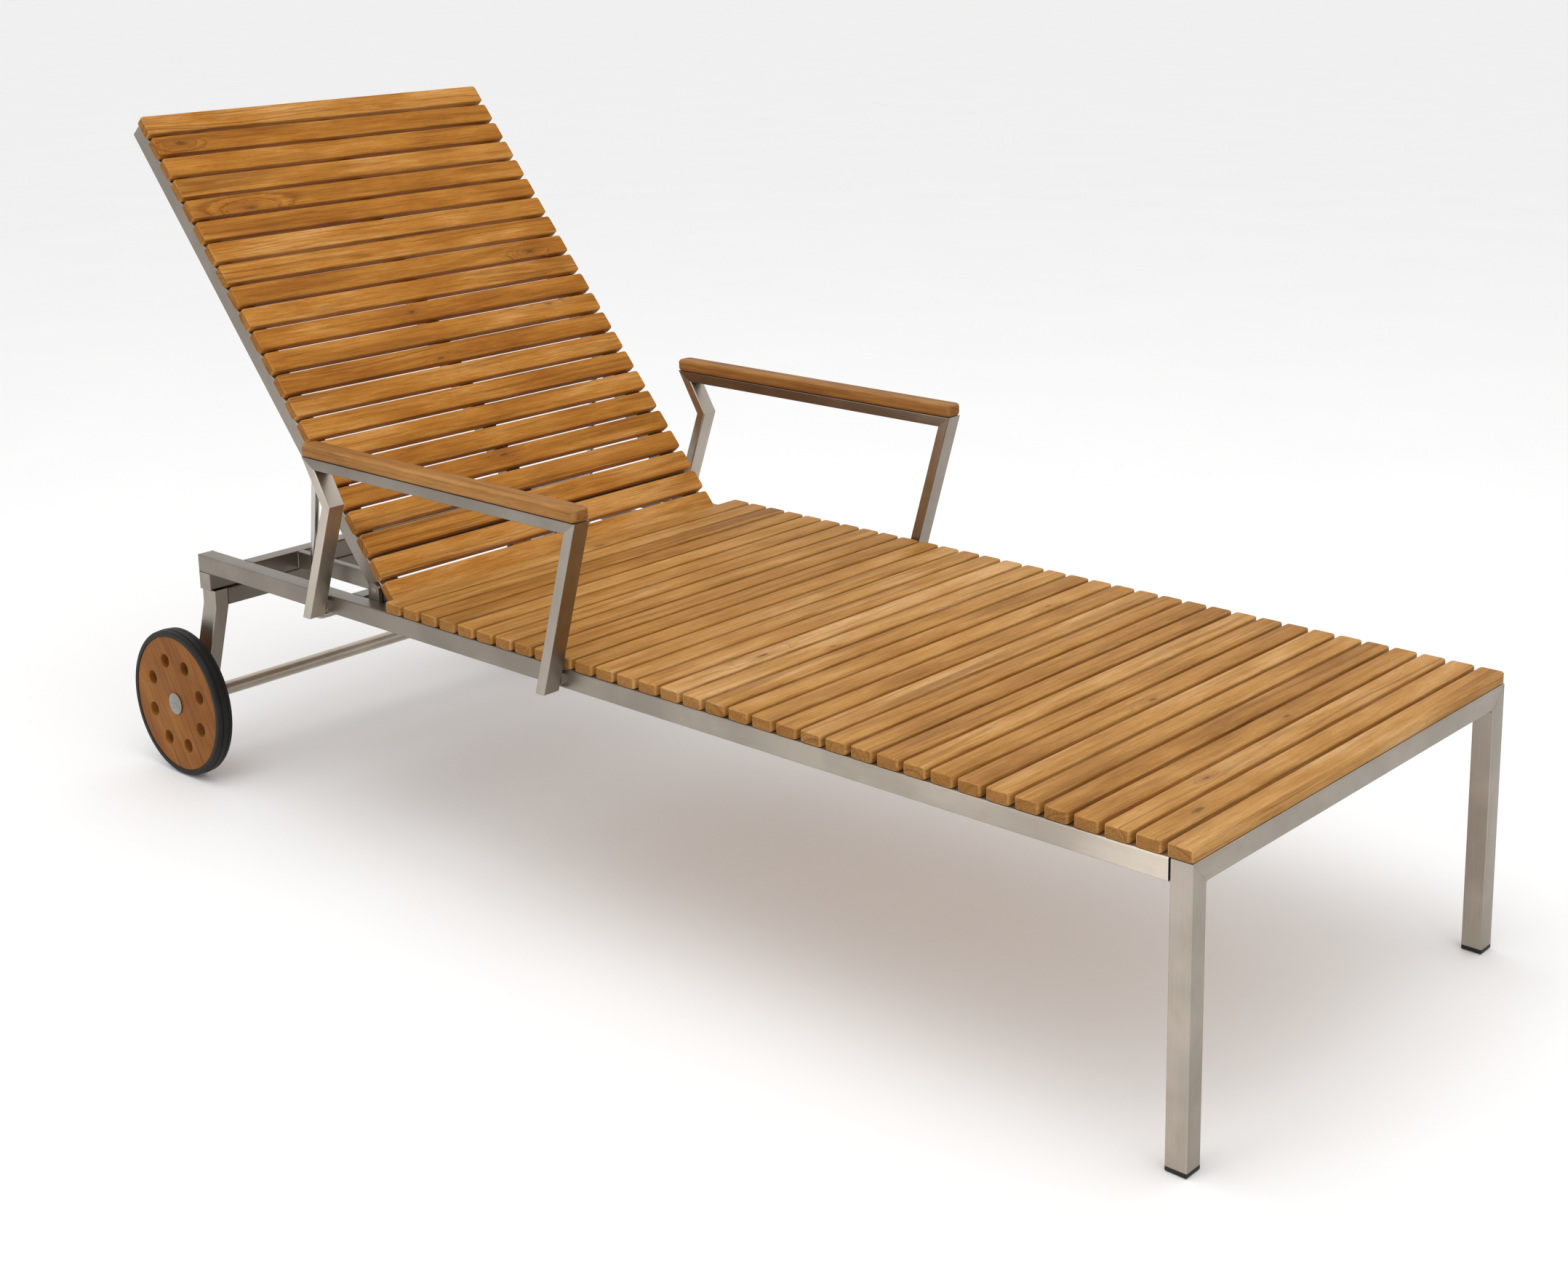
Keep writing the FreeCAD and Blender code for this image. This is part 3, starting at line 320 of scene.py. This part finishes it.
def weld_metal():
    """Weld beads: rougher than the tubes, with a brown heat tint in places."""
    s = Shader("weld_metal")
    grains = s.noise(s.place, scale=900.0, detail=2.0)
    tint = s.noise(s.place, scale=60.0, detail=2.0)
    metal = s.mix(s.step(tint, 0.38, 0.62), colour(0.40, 0.365, 0.325), colour(0.30, 0.245, 0.20))
    s.bump(grains, 0.00015, 0.6)
    return s.finish(Base_Color=metal, Roughness=s.math("ADD", 0.32, s.math("MULTIPLY", grains, 0.25)),
                    Metallic=1.0)


def moulded(name, base, pale, scale, rough, sheen=0.5):
    """Moulded rubber or plastic: a fine grain and dusty patches."""
    s = Shader(name)
    grain = s.noise(s.place, scale=scale, detail=3.0)
    dust = s.noise(s.place, scale=scale / 40, detail=3.0, roughness=0.6)
    body = s.stain(colour(*base), s.step(dust, 0.45, 0.72), 0.45, pale)
    body = s.stain(body, s.step(grain, 0.50, 0.70), 0.25, pale)
    s.bump(grain, 0.00012, 0.35)
    return s.finish(Base_Color=body, Roughness=s.math("ADD", rough, s.math("MULTIPLY", dust, 0.2)),
                    Specular_IOR_Level=sheen)


# The teak's tones, from a dark board to a pale one, each with its place on the ramp.
SEAT_TONES = ((0.20, (0.165, 0.062, 0.011)), (0.42, (0.325, 0.142, 0.027)), (0.60, (0.440, 0.218, 0.054)),
              (0.82, (0.590, 0.345, 0.145)))
BACK_TONES = ((0.20, (0.142, 0.046, 0.008)), (0.42, (0.290, 0.102, 0.015)), (0.60, (0.410, 0.168, 0.027)),
              (0.82, (0.580, 0.305, 0.100)))
CAP_TONES = ((0.20, (0.135, 0.052, 0.012)), (0.42, (0.265, 0.115, 0.030)), (0.60, (0.345, 0.165, 0.046)),
             (0.82, (0.450, 0.245, 0.085)))
WHEEL_TONES = ((0.20, (0.092, 0.030, 0.005)), (0.42, (0.178, 0.059, 0.009)), (0.60, (0.248, 0.089, 0.013)),
               (0.82, (0.335, 0.143, 0.026)))
WHEEL_GRAIN = math.radians(57.6)
SEAT_TEAK = teak("teak_seat", SEAT_TONES, (0.185, 0.074, 0.018))
BACK_TEAK = teak("teak_back", BACK_TONES, (0.135, 0.045, 0.009), contrast=1.1, sheen=0.04)
CAP_TEAK = teak("teak_caps", CAP_TONES, (0.150, 0.060, 0.016))
WHEEL_TEAK = teak("teak_wheel", WHEEL_TONES, (0.090, 0.028, 0.005), sheen=0.14, turn=WHEEL_GRAIN)

# The directions that slanted tubes run in.
LEG_LEAN = Vector((0.0663, 0, 0.221))
REAR_LEAN = Vector((0.0587, 0, 0.161))
CRANK = Vector((0.328, 0, 1.0))
# The same steel in lighter and darker copies: each tone, head factor and foot factor below is painted light
# and shade for how those parts face the lamps.
STEEL = {
    "x": steel("stainless_lengthwise", X_AXIS, head_shade_tone=0.58, foot_highlight_tone=1.42),
    "y": steel("stainless_crosswise", Y_AXIS, head_shade_tone=0.60),
    "z": steel("stainless_upright", Z_AXIS, head_shade_tone=0.75),
    "back": steel("stainless_stile", UP_BACK, tone=0.70),
    "front_leg": steel("stainless_front_leg", LEG_LEAN, tone=0.85),
    "rear_leg": steel("stainless_rear_leg", REAR_LEAN, tone=1.15),
    "crank": steel("stainless_crank", CRANK, tone=0.88),
    "axle": steel("stainless_axle", Y_AXIS, tone=1.30),
    "rod": steel("polished_rod", Z_AXIS, base=ROD_STEEL, smooth=0.14, brushing=0.35),
    "fitting": steel("polished_fitting", Y_AXIS, base=FITTING_STEEL, smooth=0.20, brushing=0.5),
}
WELD = weld_metal()
RUBBER = moulded("tyre_rubber", (0.008, 0.008, 0.007), (0.028, 0.027, 0.024), 700.0, 0.42, sheen=0.22)
GLIDE = moulded("glide_plastic", (0.008, 0.008, 0.008), (0.030, 0.030, 0.028), 900.0, 0.42, sheen=0.25)
BUSH = moulded("bush_plastic", (0.23, 0.23, 0.22), (0.34, 0.34, 0.33), 800.0, 0.38)
CAP_PLASTIC = moulded("hub_cap_plastic", (0.200, 0.194, 0.182), (0.33, 0.32, 0.30), 650.0, 0.28)
# Painted shade: a dark material for the discs that stand for the hub caps' pinholes.
HOLE_DARK = moulded("hole_shadow", (0.020, 0.018, 0.016), (0.045, 0.040, 0.036), 600.0, 0.60)


# ------------------------------------------------------------- mesh helpers

def basis(x_axis, y_axis, z_axis, origin):
    """The matrix that turns and moves a piece so that its own axes lie along the given ones."""
    columns = Matrix((x_axis, y_axis, z_axis)).transposed().to_4x4()
    columns.translation = origin
    return columns


def add_piece(name, mesh, body, material, matrix=None, replaces=()):
    """Puts a visible piece on a body of the frame, in place of the CAD nodes it replaces, if any."""
    piece = bpy.data.objects.new(name, mesh)
    bpy.context.scene.collection.objects.link(piece)
    if matrix is not None:
        piece.matrix_world = matrix
    mesh.materials.clear()
    mesh.materials.append(material)
    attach(piece, body)
    if replaces:
        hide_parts(*replaces)
    return piece


def smooth_mesh(shape, name, sharp=40):
    """Turns a bmesh into a smooth-shaded mesh whose edges stay sharp from the given angle, in degrees."""
    mesh = bpy.data.meshes.new(name)
    shape.to_mesh(mesh)
    shape.free()
    mesh.polygons.foreach_set("use_smooth", [True] * len(mesh.polygons))
    mesh.set_sharp_from_angle(angle=math.radians(sharp))
    return mesh


def set_board(mesh, seed, tone, flatness, knot=(0, 0, 0)):
    """Stores what the teak material reads, the same at every point of a board."""
    for name, value in (("board", (seed, tone, flatness)), ("knot", knot)):
        layer = mesh.attributes.new(name, "FLOAT_VECTOR", "POINT")
        layer.data.foreach_set("vector", list(value) * len(mesh.vertices))


def board_mesh(name, length, width, thickness, arris, corner, bow):
    """A board along X: rounded arrises, rounded corners in plan, and a slight natural bow and twist."""
    shape = bmesh.new()
    bmesh.ops.create_cube(shape, size=1.0)
    bmesh.ops.scale(shape, vec=(length, width, thickness), verts=shape.verts)
    upright = [e for e in shape.edges if abs((e.verts[0].co - e.verts[1].co).normalized().z) > 0.9]
    rounding = {"segments": ROUNDING_STEPS, "affect": "EDGES", "profile": 0.5}
    bmesh.ops.bevel(shape, geom=upright, offset=corner, **rounding)
    rim = [e for e in shape.edges if len(e.link_faces) == 2
           and abs(e.link_faces[0].normal.z - e.link_faces[1].normal.z) > 0.5]
    bmesh.ops.bevel(shape, geom=rim, offset=arris, **rounding)
    for cut in range(1, BOARD_CUTS):
        where = Vector(((cut / BOARD_CUTS - 0.5) * length, 0, 0))
        everything = shape.verts[:] + shape.edges[:] + shape.faces[:]
        bmesh.ops.bisect_plane(shape, geom=everything, plane_co=where, plane_no=(1, 0, 0))
    for vertex in shape.verts:
        along = vertex.co.x / length
        vertex.co.y += bow * (4 * along * along - 1)
        vertex.co.z += 0.5 * bow * along * vertex.co.y / width
    return smooth_mesh(shape, name)


def lathe_mesh(name, profile, segments=128, sharp=35):
    """Turns a profile of (radius, height) points about Z."""
    shape = bmesh.new()
    rings = []
    for radius, height in profile:
        if radius < 1e-6:
            rings.append([shape.verts.new((0, 0, height))])
            continue
        turn = [2 * math.pi * i / segments for i in range(segments)]
        rings.append([shape.verts.new((radius * math.cos(a), radius * math.sin(a), height)) for a in turn])
    for first, second in zip(rings, rings[1:]):
        for i in range(segments):
            j = (i + 1) % segments
            corners = [first[i % len(first)], first[j % len(first)], second[j % len(second)],
                       second[i % len(second)]]
            shape.faces.new(list(dict.fromkeys(corners)))
    bmesh.ops.recalc_face_normals(shape, faces=shape.faces)
    return smooth_mesh(shape, name, sharp)


def arc(centre, radius, start, end, count):
    """Points of an arc as (radius, height) pairs; angles in degrees from outwards."""
    turn = [math.radians(start + (end - start) * i / count) for i in range(count + 1)]
    return [(centre[0] + radius * math.cos(a), centre[1] + radius * math.sin(a)) for a in turn]


def bead(name, start, end, radius):
    """A thin weld bead on the base between two points, with the ripple that welding leaves."""
    start, end = Vector(start), Vector(end)
    along = (end - start).normalized()
    side = along.orthogonal().normalized()
    up = along.cross(side)
    steps = max(4, int((end - start).length / BEAD_STEP))
    sides = 8
    shape = bmesh.new()
    rings = []
    for i in range(steps + 1):
        swell = radius * (1 + 0.16 * math.sin(i * 2.1) + 0.08 * chance.random())
        if i in (0, steps):
            swell *= 0.5
        centre = start.lerp(end, i / steps)
        ring = []
        for k in range(sides):
            a = 2 * math.pi / sides * k
            ring.append(shape.verts.new(centre + swell * (math.cos(a) * side + math.sin(a) * up)))
        rings.append(ring)
    for first, second in zip(rings, rings[1:]):
        for k in range(sides):
            j = (k + 1) % sides
            shape.faces.new((first[k], first[j], second[j], second[k]))
    shape.faces.new(rings[0])
    shape.faces.new(rings[-1])
    bmesh.ops.recalc_face_normals(shape, faces=shape.faces)
    add_piece(name, smooth_mesh(shape, name, 60), "base", WELD)


# ------------------------------------------------------------------- pieces

def dress_cad_nodes():
    """Gives each CAD node its metal or plastic, and shades its rounded edges smoothly."""
    kinds = (
        (("side_rail", "inner_bar", "seat_center_bearer", "arm_top_tube"), STEEL["x"]),
        (("head_crossbar", "head_lower_tube", "hinge_crossbar", "foot_crossbar", "wheel_frame_crossbar",
          "back_top_rail", "back_bottom_rail"), STEEL["y"]),
        (("foot_leg", "rest_hook", "hinge_plate", "rail_end_cap", "lower_tube_caps"), STEEL["z"]),
        (("axle_tube",), STEEL["axle"]),
        (("back_stile", "back_batten"), STEEL["back"]),
        (("arm_front_leg",), STEEL["front_leg"]),
        (("arm_rear_leg",), STEEL["rear_leg"]),
        (("wheel_leg",), STEEL["crank"]),
        (("stay_leg", "stay_cross_rod"), STEEL["rod"]),
        (("axle_pin", "wheel_frame_bolts", "wheel_spacers", "arm_spacers", "arm_bolts", "hinge_pins",
          "stay_pins"), STEEL["fitting"]),
        (("foot_glide", "rail_joiners"), GLIDE),
        (("hub_bush",), BUSH),
    )
    for name, node in frame["nodes"].items():
        for starts, material in kinds:
            if name.startswith(starts):
                node.data.materials.clear()
                node.data.materials.append(material)
                node.data.polygons.foreach_set("use_smooth", [True] * len(node.data.polygons))
                weld = node.modifiers.new("weld", "WELD")
                weld.merge_threshold = 0.00002
                split = node.modifiers.new("sharp_edges", "EDGE_SPLIT")
                split.split_angle = math.radians(32)


def slat_traits(length):
    """A board's own seed, tone, figure and, on about one board in four, a knot."""
    seed = chance.uniform(0, 10)
    tone = min(1.0, max(0.0, chance.gauss(0.53, 0.12)))
    flatness = chance.choice((0.15, 0.5, 0.8, 1.0))
    knot = (0, 0, 0)
    if chance.random() < 0.28:
        along = chance.uniform(-0.45, 0.45) * length
        knot = (along, chance.uniform(-0.010, 0.010), chance.uniform(0.002, 0.005))
    return seed, tone, flatness, knot


def slats(prefix, body, node, material, count, place):
    """One board for each slat of a CAD group; place gives the matrix of each."""
    low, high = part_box(node)
    length = high.y - low.y
    for index in range(count):
        name = f"{prefix}_{index + 1:02d}"
        trim = chance.uniform(0.0, SLAT_TRIM)
        mesh = board_mesh(name, length - trim, SLAT_WIDTH, SLAT_THICKNESS, SLAT_ARRIS, SLAT_CORNER,
                          chance.uniform(-SLAT_BOW, SLAT_BOW))
        set_board(mesh, *slat_traits(length))
        piece = add_piece(name, mesh, body, material, place(index))
        if index == 0:
            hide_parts(node)


def make_seat():
    low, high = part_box("seat_slats")
    count = round((high.x - low.x - SLAT_WIDTH) / SLAT_PITCH) + 1
    middle = (low.z + high.z) / 2

    def place(index):
        x = high.x - SLAT_WIDTH / 2 - index * SLAT_PITCH
        return basis(Y_AXIS, -X_AXIS, Z_AXIS, Vector((x, 0, middle)))

    slats("seat_slat", "base", "seat_slats", SEAT_TEAK, count, place)


def make_back():
    hinge = Vector(joints["back_tilt"]["pos_m"])

    def place(index):
        along = BACK_SLAT_START + index * SLAT_PITCH
        return basis(Y_AXIS, UP_BACK, BACK_FRONT, hinge + along * UP_BACK + BACK_SLAT_MIDDLE * BACK_FRONT)

    slats("back_slat", "backrest", "back_slats", BACK_TEAK, BACK_SLATS, place)


def make_arm_caps():
    for side, _ in SIDES:
        low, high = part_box(f"arm_cap_{side}")
        size = high - low
        mesh = board_mesh(f"armrest_cap_{side}", *size, ARMREST_ARRIS, ARMREST_CORNER, ARMREST_BOW)
        set_board(mesh, chance.uniform(0, 10), 0.42, 0.45)
        matrix = Matrix.Translation((low + high) / 2)
        add_piece(f"armrest_cap_{side}", mesh, "base", CAP_TEAK, matrix, [f"arm_cap_{side}"])


def ring_spline(curve, radius, centre=(0, 0)):
    """A round outline of a flat curve, of eight smooth points."""
    spline = curve.splines.new("BEZIER")
    spline.bezier_points.add(7)
    handle = radius * 4 / 3 * math.tan(math.pi / 16)
    for i, point in enumerate(spline.bezier_points):
        a = math.pi / 4 * i
        out = Vector((math.cos(a), math.sin(a), 0))
        forward = Vector((-math.sin(a), math.cos(a), 0))
        point.co = Vector((*centre, 0)) + radius * out
        point.handle_left = point.co - handle * forward
        point.handle_right = point.co + handle * forward
    spline.use_cyclic_u = True


def disc_mesh(name, upward):
    """The wheel disc: a flat curve with its holes, thickened, with eased edges."""
    curve = bpy.data.curves.new(name, "CURVE")
    curve.dimensions = "2D"
    curve.fill_mode = "BOTH"
    curve.resolution_u = 10
    curve.extrude = DISC_WIDTH / 2 - DISC_EASE
    curve.bevel_depth = DISC_EASE
    curve.bevel_resolution = 3
    curve.offset = -DISC_EASE
    ring_spline(curve, DISC_RADIUS)
    ring_spline(curve, BUSH_RADIUS)
    for k in range(HOLES):
        a = HOLE_START + k * 2 * math.pi / HOLES
        ring_spline(curve, HOLE_RADIUS, (HOLE_RING * math.cos(a), upward * HOLE_RING * math.sin(a)))
    holder = bpy.data.objects.new(name + "_curve", curve)
    mesh = bpy.data.meshes.new_from_object(holder)
    bpy.data.objects.remove(holder)
    shape = bmesh.new()
    shape.from_mesh(mesh)
    bmesh.ops.remove_doubles(shape, verts=shape.verts, dist=0.00002)
    return smooth_mesh(shape, name, 30)


def tyre_profile():
    """Half-round tread with a groove round each shoulder, as a closed loop of (radius, height)."""
    half, inner, tread = TYRE_WIDTH / 2, DISC_RADIUS - 0.0001, TYRE_RADIUS - 0.0006
    groove = tread - TYRE_GROOVE
    upper = [(inner, half - 0.0006), (inner + 0.0006, half)]
    upper += arc((TYRE_RADIUS - 0.0046, half - TYRE_SHOULDER), TYRE_SHOULDER, 90, 24, 8)
    upper += [(tread, half - 0.0062), (groove, half - 0.0068), (groove, half - 0.0080),
              (TYRE_RADIUS - 0.0002, half - 0.0086), (TYRE_RADIUS, 0.0012)]
    lower = [(radius, -height) for radius, height in reversed(upper)]
    return upper + lower + upper[:1]


def dome_profile():
    """The hub cap: a shallow dome with a dished middle."""
    sphere = (CAP_RADIUS ** 2 + CAP_RISE ** 2) / (2 * CAP_RISE)
    points = [(0.0, 0.0), (CAP_RADIUS - 0.0004, 0.0), (CAP_RADIUS, CAP_RIM)]
    edge = math.asin(CAP_RADIUS / sphere)
    for i in range(1, 12):
        a = edge * (1 - i / 12)
        radius = sphere * math.sin(a)
        dish = CAP_DISH_DEPTH if radius < CAP_DISH_RADIUS else 0.0
        points.append((radius, CAP_RISE - sphere * (1 - math.cos(a)) - dish))
    return points + [(0.0, CAP_RISE - CAP_DISH_DEPTH)]


def make_wheels():
    """Teak discs and tyres that turn, and hub caps with three pinholes that stay on the wheel legs."""
    for side, sign in SIDES:
        body = f"wheel_{side}"
        hub = Vector(joints[f"wheel_{side}_spin"]["pos_m"])
        outward, upward = sign * Y_AXIS, -sign * Z_AXIS
        flat = basis(X_AXIS, upward, outward, hub)
        disc = disc_mesh(f"disc_{side}", -sign)
        set_board(disc, 3.3 if sign < 0 else 6.1, 0.55, 0.55, (0.02, -0.004, 0.0))
        add_piece(f"disc_{side}", disc, body, WHEEL_TEAK, flat, [f"wheel_disc_{side}"])
        tread = lathe_mesh(f"tread_{side}", tyre_profile(), segments=180)
        add_piece(f"tread_{side}", tread, body, RUBBER, flat, [f"tyre_{side}"])
        cap_low, cap_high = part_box(f"hub_cap_{side}")
        face = cap_high.y if sign < 0 else cap_low.y
        cap_place = basis(X_AXIS, upward, outward, Vector((hub.x, face, hub.z)))
        cap = lathe_mesh(f"hub_dome_{side}", dome_profile(), segments=72)
        add_piece(f"hub_dome_{side}", cap, "base", CAP_PLASTIC, cap_place,
                  [f"hub_cap_{side}"])
        # Each pinhole is a small dark disc sunk into the cap, the painted shade of a hole.
        for k in range(PINHOLES):
            a = PINHOLE_START + k * 2 * math.pi / PINHOLES
            outline = [(0.0, -0.0004), (0.0013, -0.0004), (0.0013, 0.0002), (0.0009, 0.0001), (0.0, 0.0)]
            dot = lathe_mesh(f"hub_pinhole_{side}_{k + 1}", outline, segments=20)
            rise = Vector((PINHOLE_RING * math.cos(a), PINHOLE_RING * math.sin(a), CAP_RISE - 0.0008))
            add_piece(f"hub_pinhole_{side}_{k + 1}", dot, "base", HOLE_DARK,
                      cap_place @ Matrix.Translation(rise))


def inside_fillet(name, corner, towards_a, towards_b, depth_axis, depth, size):
    """The small rounded web that fills the inside of a welded corner of the base."""
    corner, depth_axis = Vector(corner), Vector(depth_axis)
    a, b = Vector(towards_a), Vector(towards_b)
    steps = 8
    outline = [corner]
    for i in range(steps + 1):
        t = math.pi / 2 * i / steps
        outline.append(corner + size * ((1 - math.sin(t)) * a + (1 - math.cos(t)) * b))
    shape = bmesh.new()
    front = [shape.verts.new(p - depth / 2 * depth_axis) for p in outline]
    back = [shape.verts.new(p + depth / 2 * depth_axis) for p in outline]
    shape.faces.new(front)
    shape.faces.new(list(reversed(back)))
    for i in range(len(outline)):
        j = (i + 1) % len(outline)
        shape.faces.new((front[i], back[i], back[j], front[j]))
    bmesh.ops.recalc_face_normals(shape, faces=shape.faces)
    add_piece(name, smooth_mesh(shape, name, 30), "base", STEEL["z"])


def make_welds():
    """Mitre seams at the foot, corner webs, and beads where cross tubes meet the rails."""
    rail_low, rail_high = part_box("side_rail_near")
    tube = rail_high.z - rail_low.z
    for side, sign in SIDES:
        leg_low, leg_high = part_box(f"foot_leg_{side}")
        outer = leg_low.y if sign < 0 else leg_high.y
        inner = outer - sign * tube
        face = leg_high.x - 0.0002
        bead(f"mitre_seam_{side}", (face, outer - sign * BEAD_INSET, leg_high.z - BEAD_INSET),
             (face, inner, rail_low.z), SEAM_RADIUS)
        middle = ((leg_low.x + leg_high.x) / 2, inner, rail_low.z)
        inside_fillet(f"corner_web_{side}", middle, (0, -sign, 0), (0, 0, -1), X_AXIS,
                      leg_high.x - leg_low.x - 2 * WEB_INSET, WEB_SIZE)
        for node in ("head_crossbar", "hinge_crossbar"):
            low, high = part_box(node)
            y = sign * high.y
            for number, x in enumerate((low.x, high.x)):
                bead(f"weld_{node}_{side}_{number + 1}", (x, y, low.z + BEAD_INSET),
                     (x, y, high.z - BEAD_INSET), CROSSBAR_BEAD)
        bar_low, bar_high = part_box(f"inner_bar_{side}")
        for number, x in enumerate((bar_low.x, bar_high.x)):
            for edge, y in enumerate((bar_low.y, bar_high.y)):
                bead(f"weld_inner_bar_{side}_{2 * number + edge + 1}", (x, y, bar_low.z + BEAD_INSET),
                     (x, y, bar_high.z - BEAD_INSET), INNER_BAR_BEAD)
        tube_low, tube_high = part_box("head_lower_tube")
        y, top = sign * (tube_high.y - tube), tube_high.z
        bead(f"weld_lower_tube_{side}", (tube_low.x + BEAD_INSET, y, top),
             (tube_high.x - BEAD_INSET, y, top), LOWER_TUBE_BEAD)


# -------------------------------------------------------------------- stage

LENS_MM, SENSOR_MM, SHIFT = 52.19, 36, (-0.026, -0.135)
AZIMUTH, ELEVATION, ROLL = math.radians(41.989), math.radians(13.015), math.radians(-0.945)
CAMERA_PLACE = Vector((1.9607, -2.0159, 1.2156))
FLOOR_RADIUS, FLOOR_DROP = 30, 0.0003
SKY_STRENGTH, HORIZON_SHADE, HORIZON_HEIGHT = 0.95, 0.91, 0.25


def look_matrix(azimuth, elevation, roll, place):
    """A camera's matrix: azimuth is turned from the near side towards the foot, roll about the view."""
    back = Vector((math.sin(azimuth) * math.cos(elevation), -math.cos(azimuth) * math.cos(elevation),
                   math.sin(elevation)))
    right = Z_AXIS.cross(back).normalized()
    up = back.cross(right)
    rolled_right = math.cos(roll) * right + math.sin(roll) * up
    rolled_up = math.cos(roll) * up - math.sin(roll) * right
    return basis(rolled_right, rolled_up, back, place)


def make_camera():
    camera = bpy.data.objects.new("camera", bpy.data.cameras.new("camera"))
    bpy.context.scene.collection.objects.link(camera)
    camera.data.sensor_width = SENSOR_MM
    camera.data.lens = LENS_MM
    camera.data.shift_x, camera.data.shift_y = SHIFT
    camera.matrix_world = look_matrix(AZIMUTH, ELEVATION, ROLL, CAMERA_PLACE)
    bpy.context.scene.camera = camera


def area_light(name, place, target, size, energy):
    data = bpy.data.lights.new(name, "AREA")
    data.shape = "RECTANGLE"
    data.size, data.size_y = size
    data.energy = energy
    light = bpy.data.objects.new(name, data)
    bpy.context.scene.collection.objects.link(light)
    light.location = place
    light.rotation_mode = "QUATERNION"
    light.rotation_quaternion = (Vector(target) - Vector(place)).to_track_quat("-Z", "Y")


def make_floor():
    """A pale floor just under the feet, which the stage keeps apart from the object."""
    s = Shader("pale_floor")
    mottle = s.noise(s.place, scale=3.0, detail=2.0)
    floor_colour = s.mix(mottle, colour(0.90, 0.90, 0.90), colour(0.93, 0.93, 0.925))
    material = s.finish(Base_Color=floor_colour, Roughness=0.75, Specular_IOR_Level=0.15)
    shape = bmesh.new()
    bmesh.ops.create_circle(shape, cap_ends=True, radius=FLOOR_RADIUS, segments=64)
    mesh = smooth_mesh(shape, "floor")
    mesh.materials.append(material)
    floor = bpy.data.objects.new("floor", mesh)
    bpy.context.scene.collection.objects.link(floor)
    floor.location.z = -FLOOR_DROP


def make_sky():
    """Even white light, a little greyer at the horizon so that it meets the floor without an edge."""
    world = bpy.data.worlds.new("studio")
    world.use_nodes = True
    nodes, link = world.node_tree.nodes, world.node_tree.links.new
    direction = nodes.new("ShaderNodeTexCoord")
    height = nodes.new("ShaderNodeSeparateXYZ")
    sky = nodes.new("ShaderNodeMapRange")
    fade = {"From Min": 0.0, "From Max": HORIZON_HEIGHT, "To Min": HORIZON_SHADE, "To Max": 1.0}
    for name, value in fade.items():
        sky.inputs[name].default_value = value
    link(direction.outputs["Generated"], height.inputs[0])
    link(height.outputs["Z"], sky.inputs["Value"])
    link(sky.outputs[0], nodes["Background"].inputs["Color"])
    nodes["Background"].inputs["Strength"].default_value = SKY_STRENGTH
    bpy.context.scene.world = world


def make_stage():
    make_floor()
    make_sky()
    bpy.context.scene.view_settings.view_transform = "Standard"
    area_light("overhead", (0.6, -0.6, 3.4), (0.1, 0, 0.2), (3.2, 2.4), 42)
    area_light("near_side", (-0.8, -4.6, 1.9), (0, 0, 0.4), (2.4, 1.6), 30)


make_camera()
make_stage()
dress_cad_nodes()
make_seat()
make_back()
make_arm_caps()
make_wheels()
make_welds()
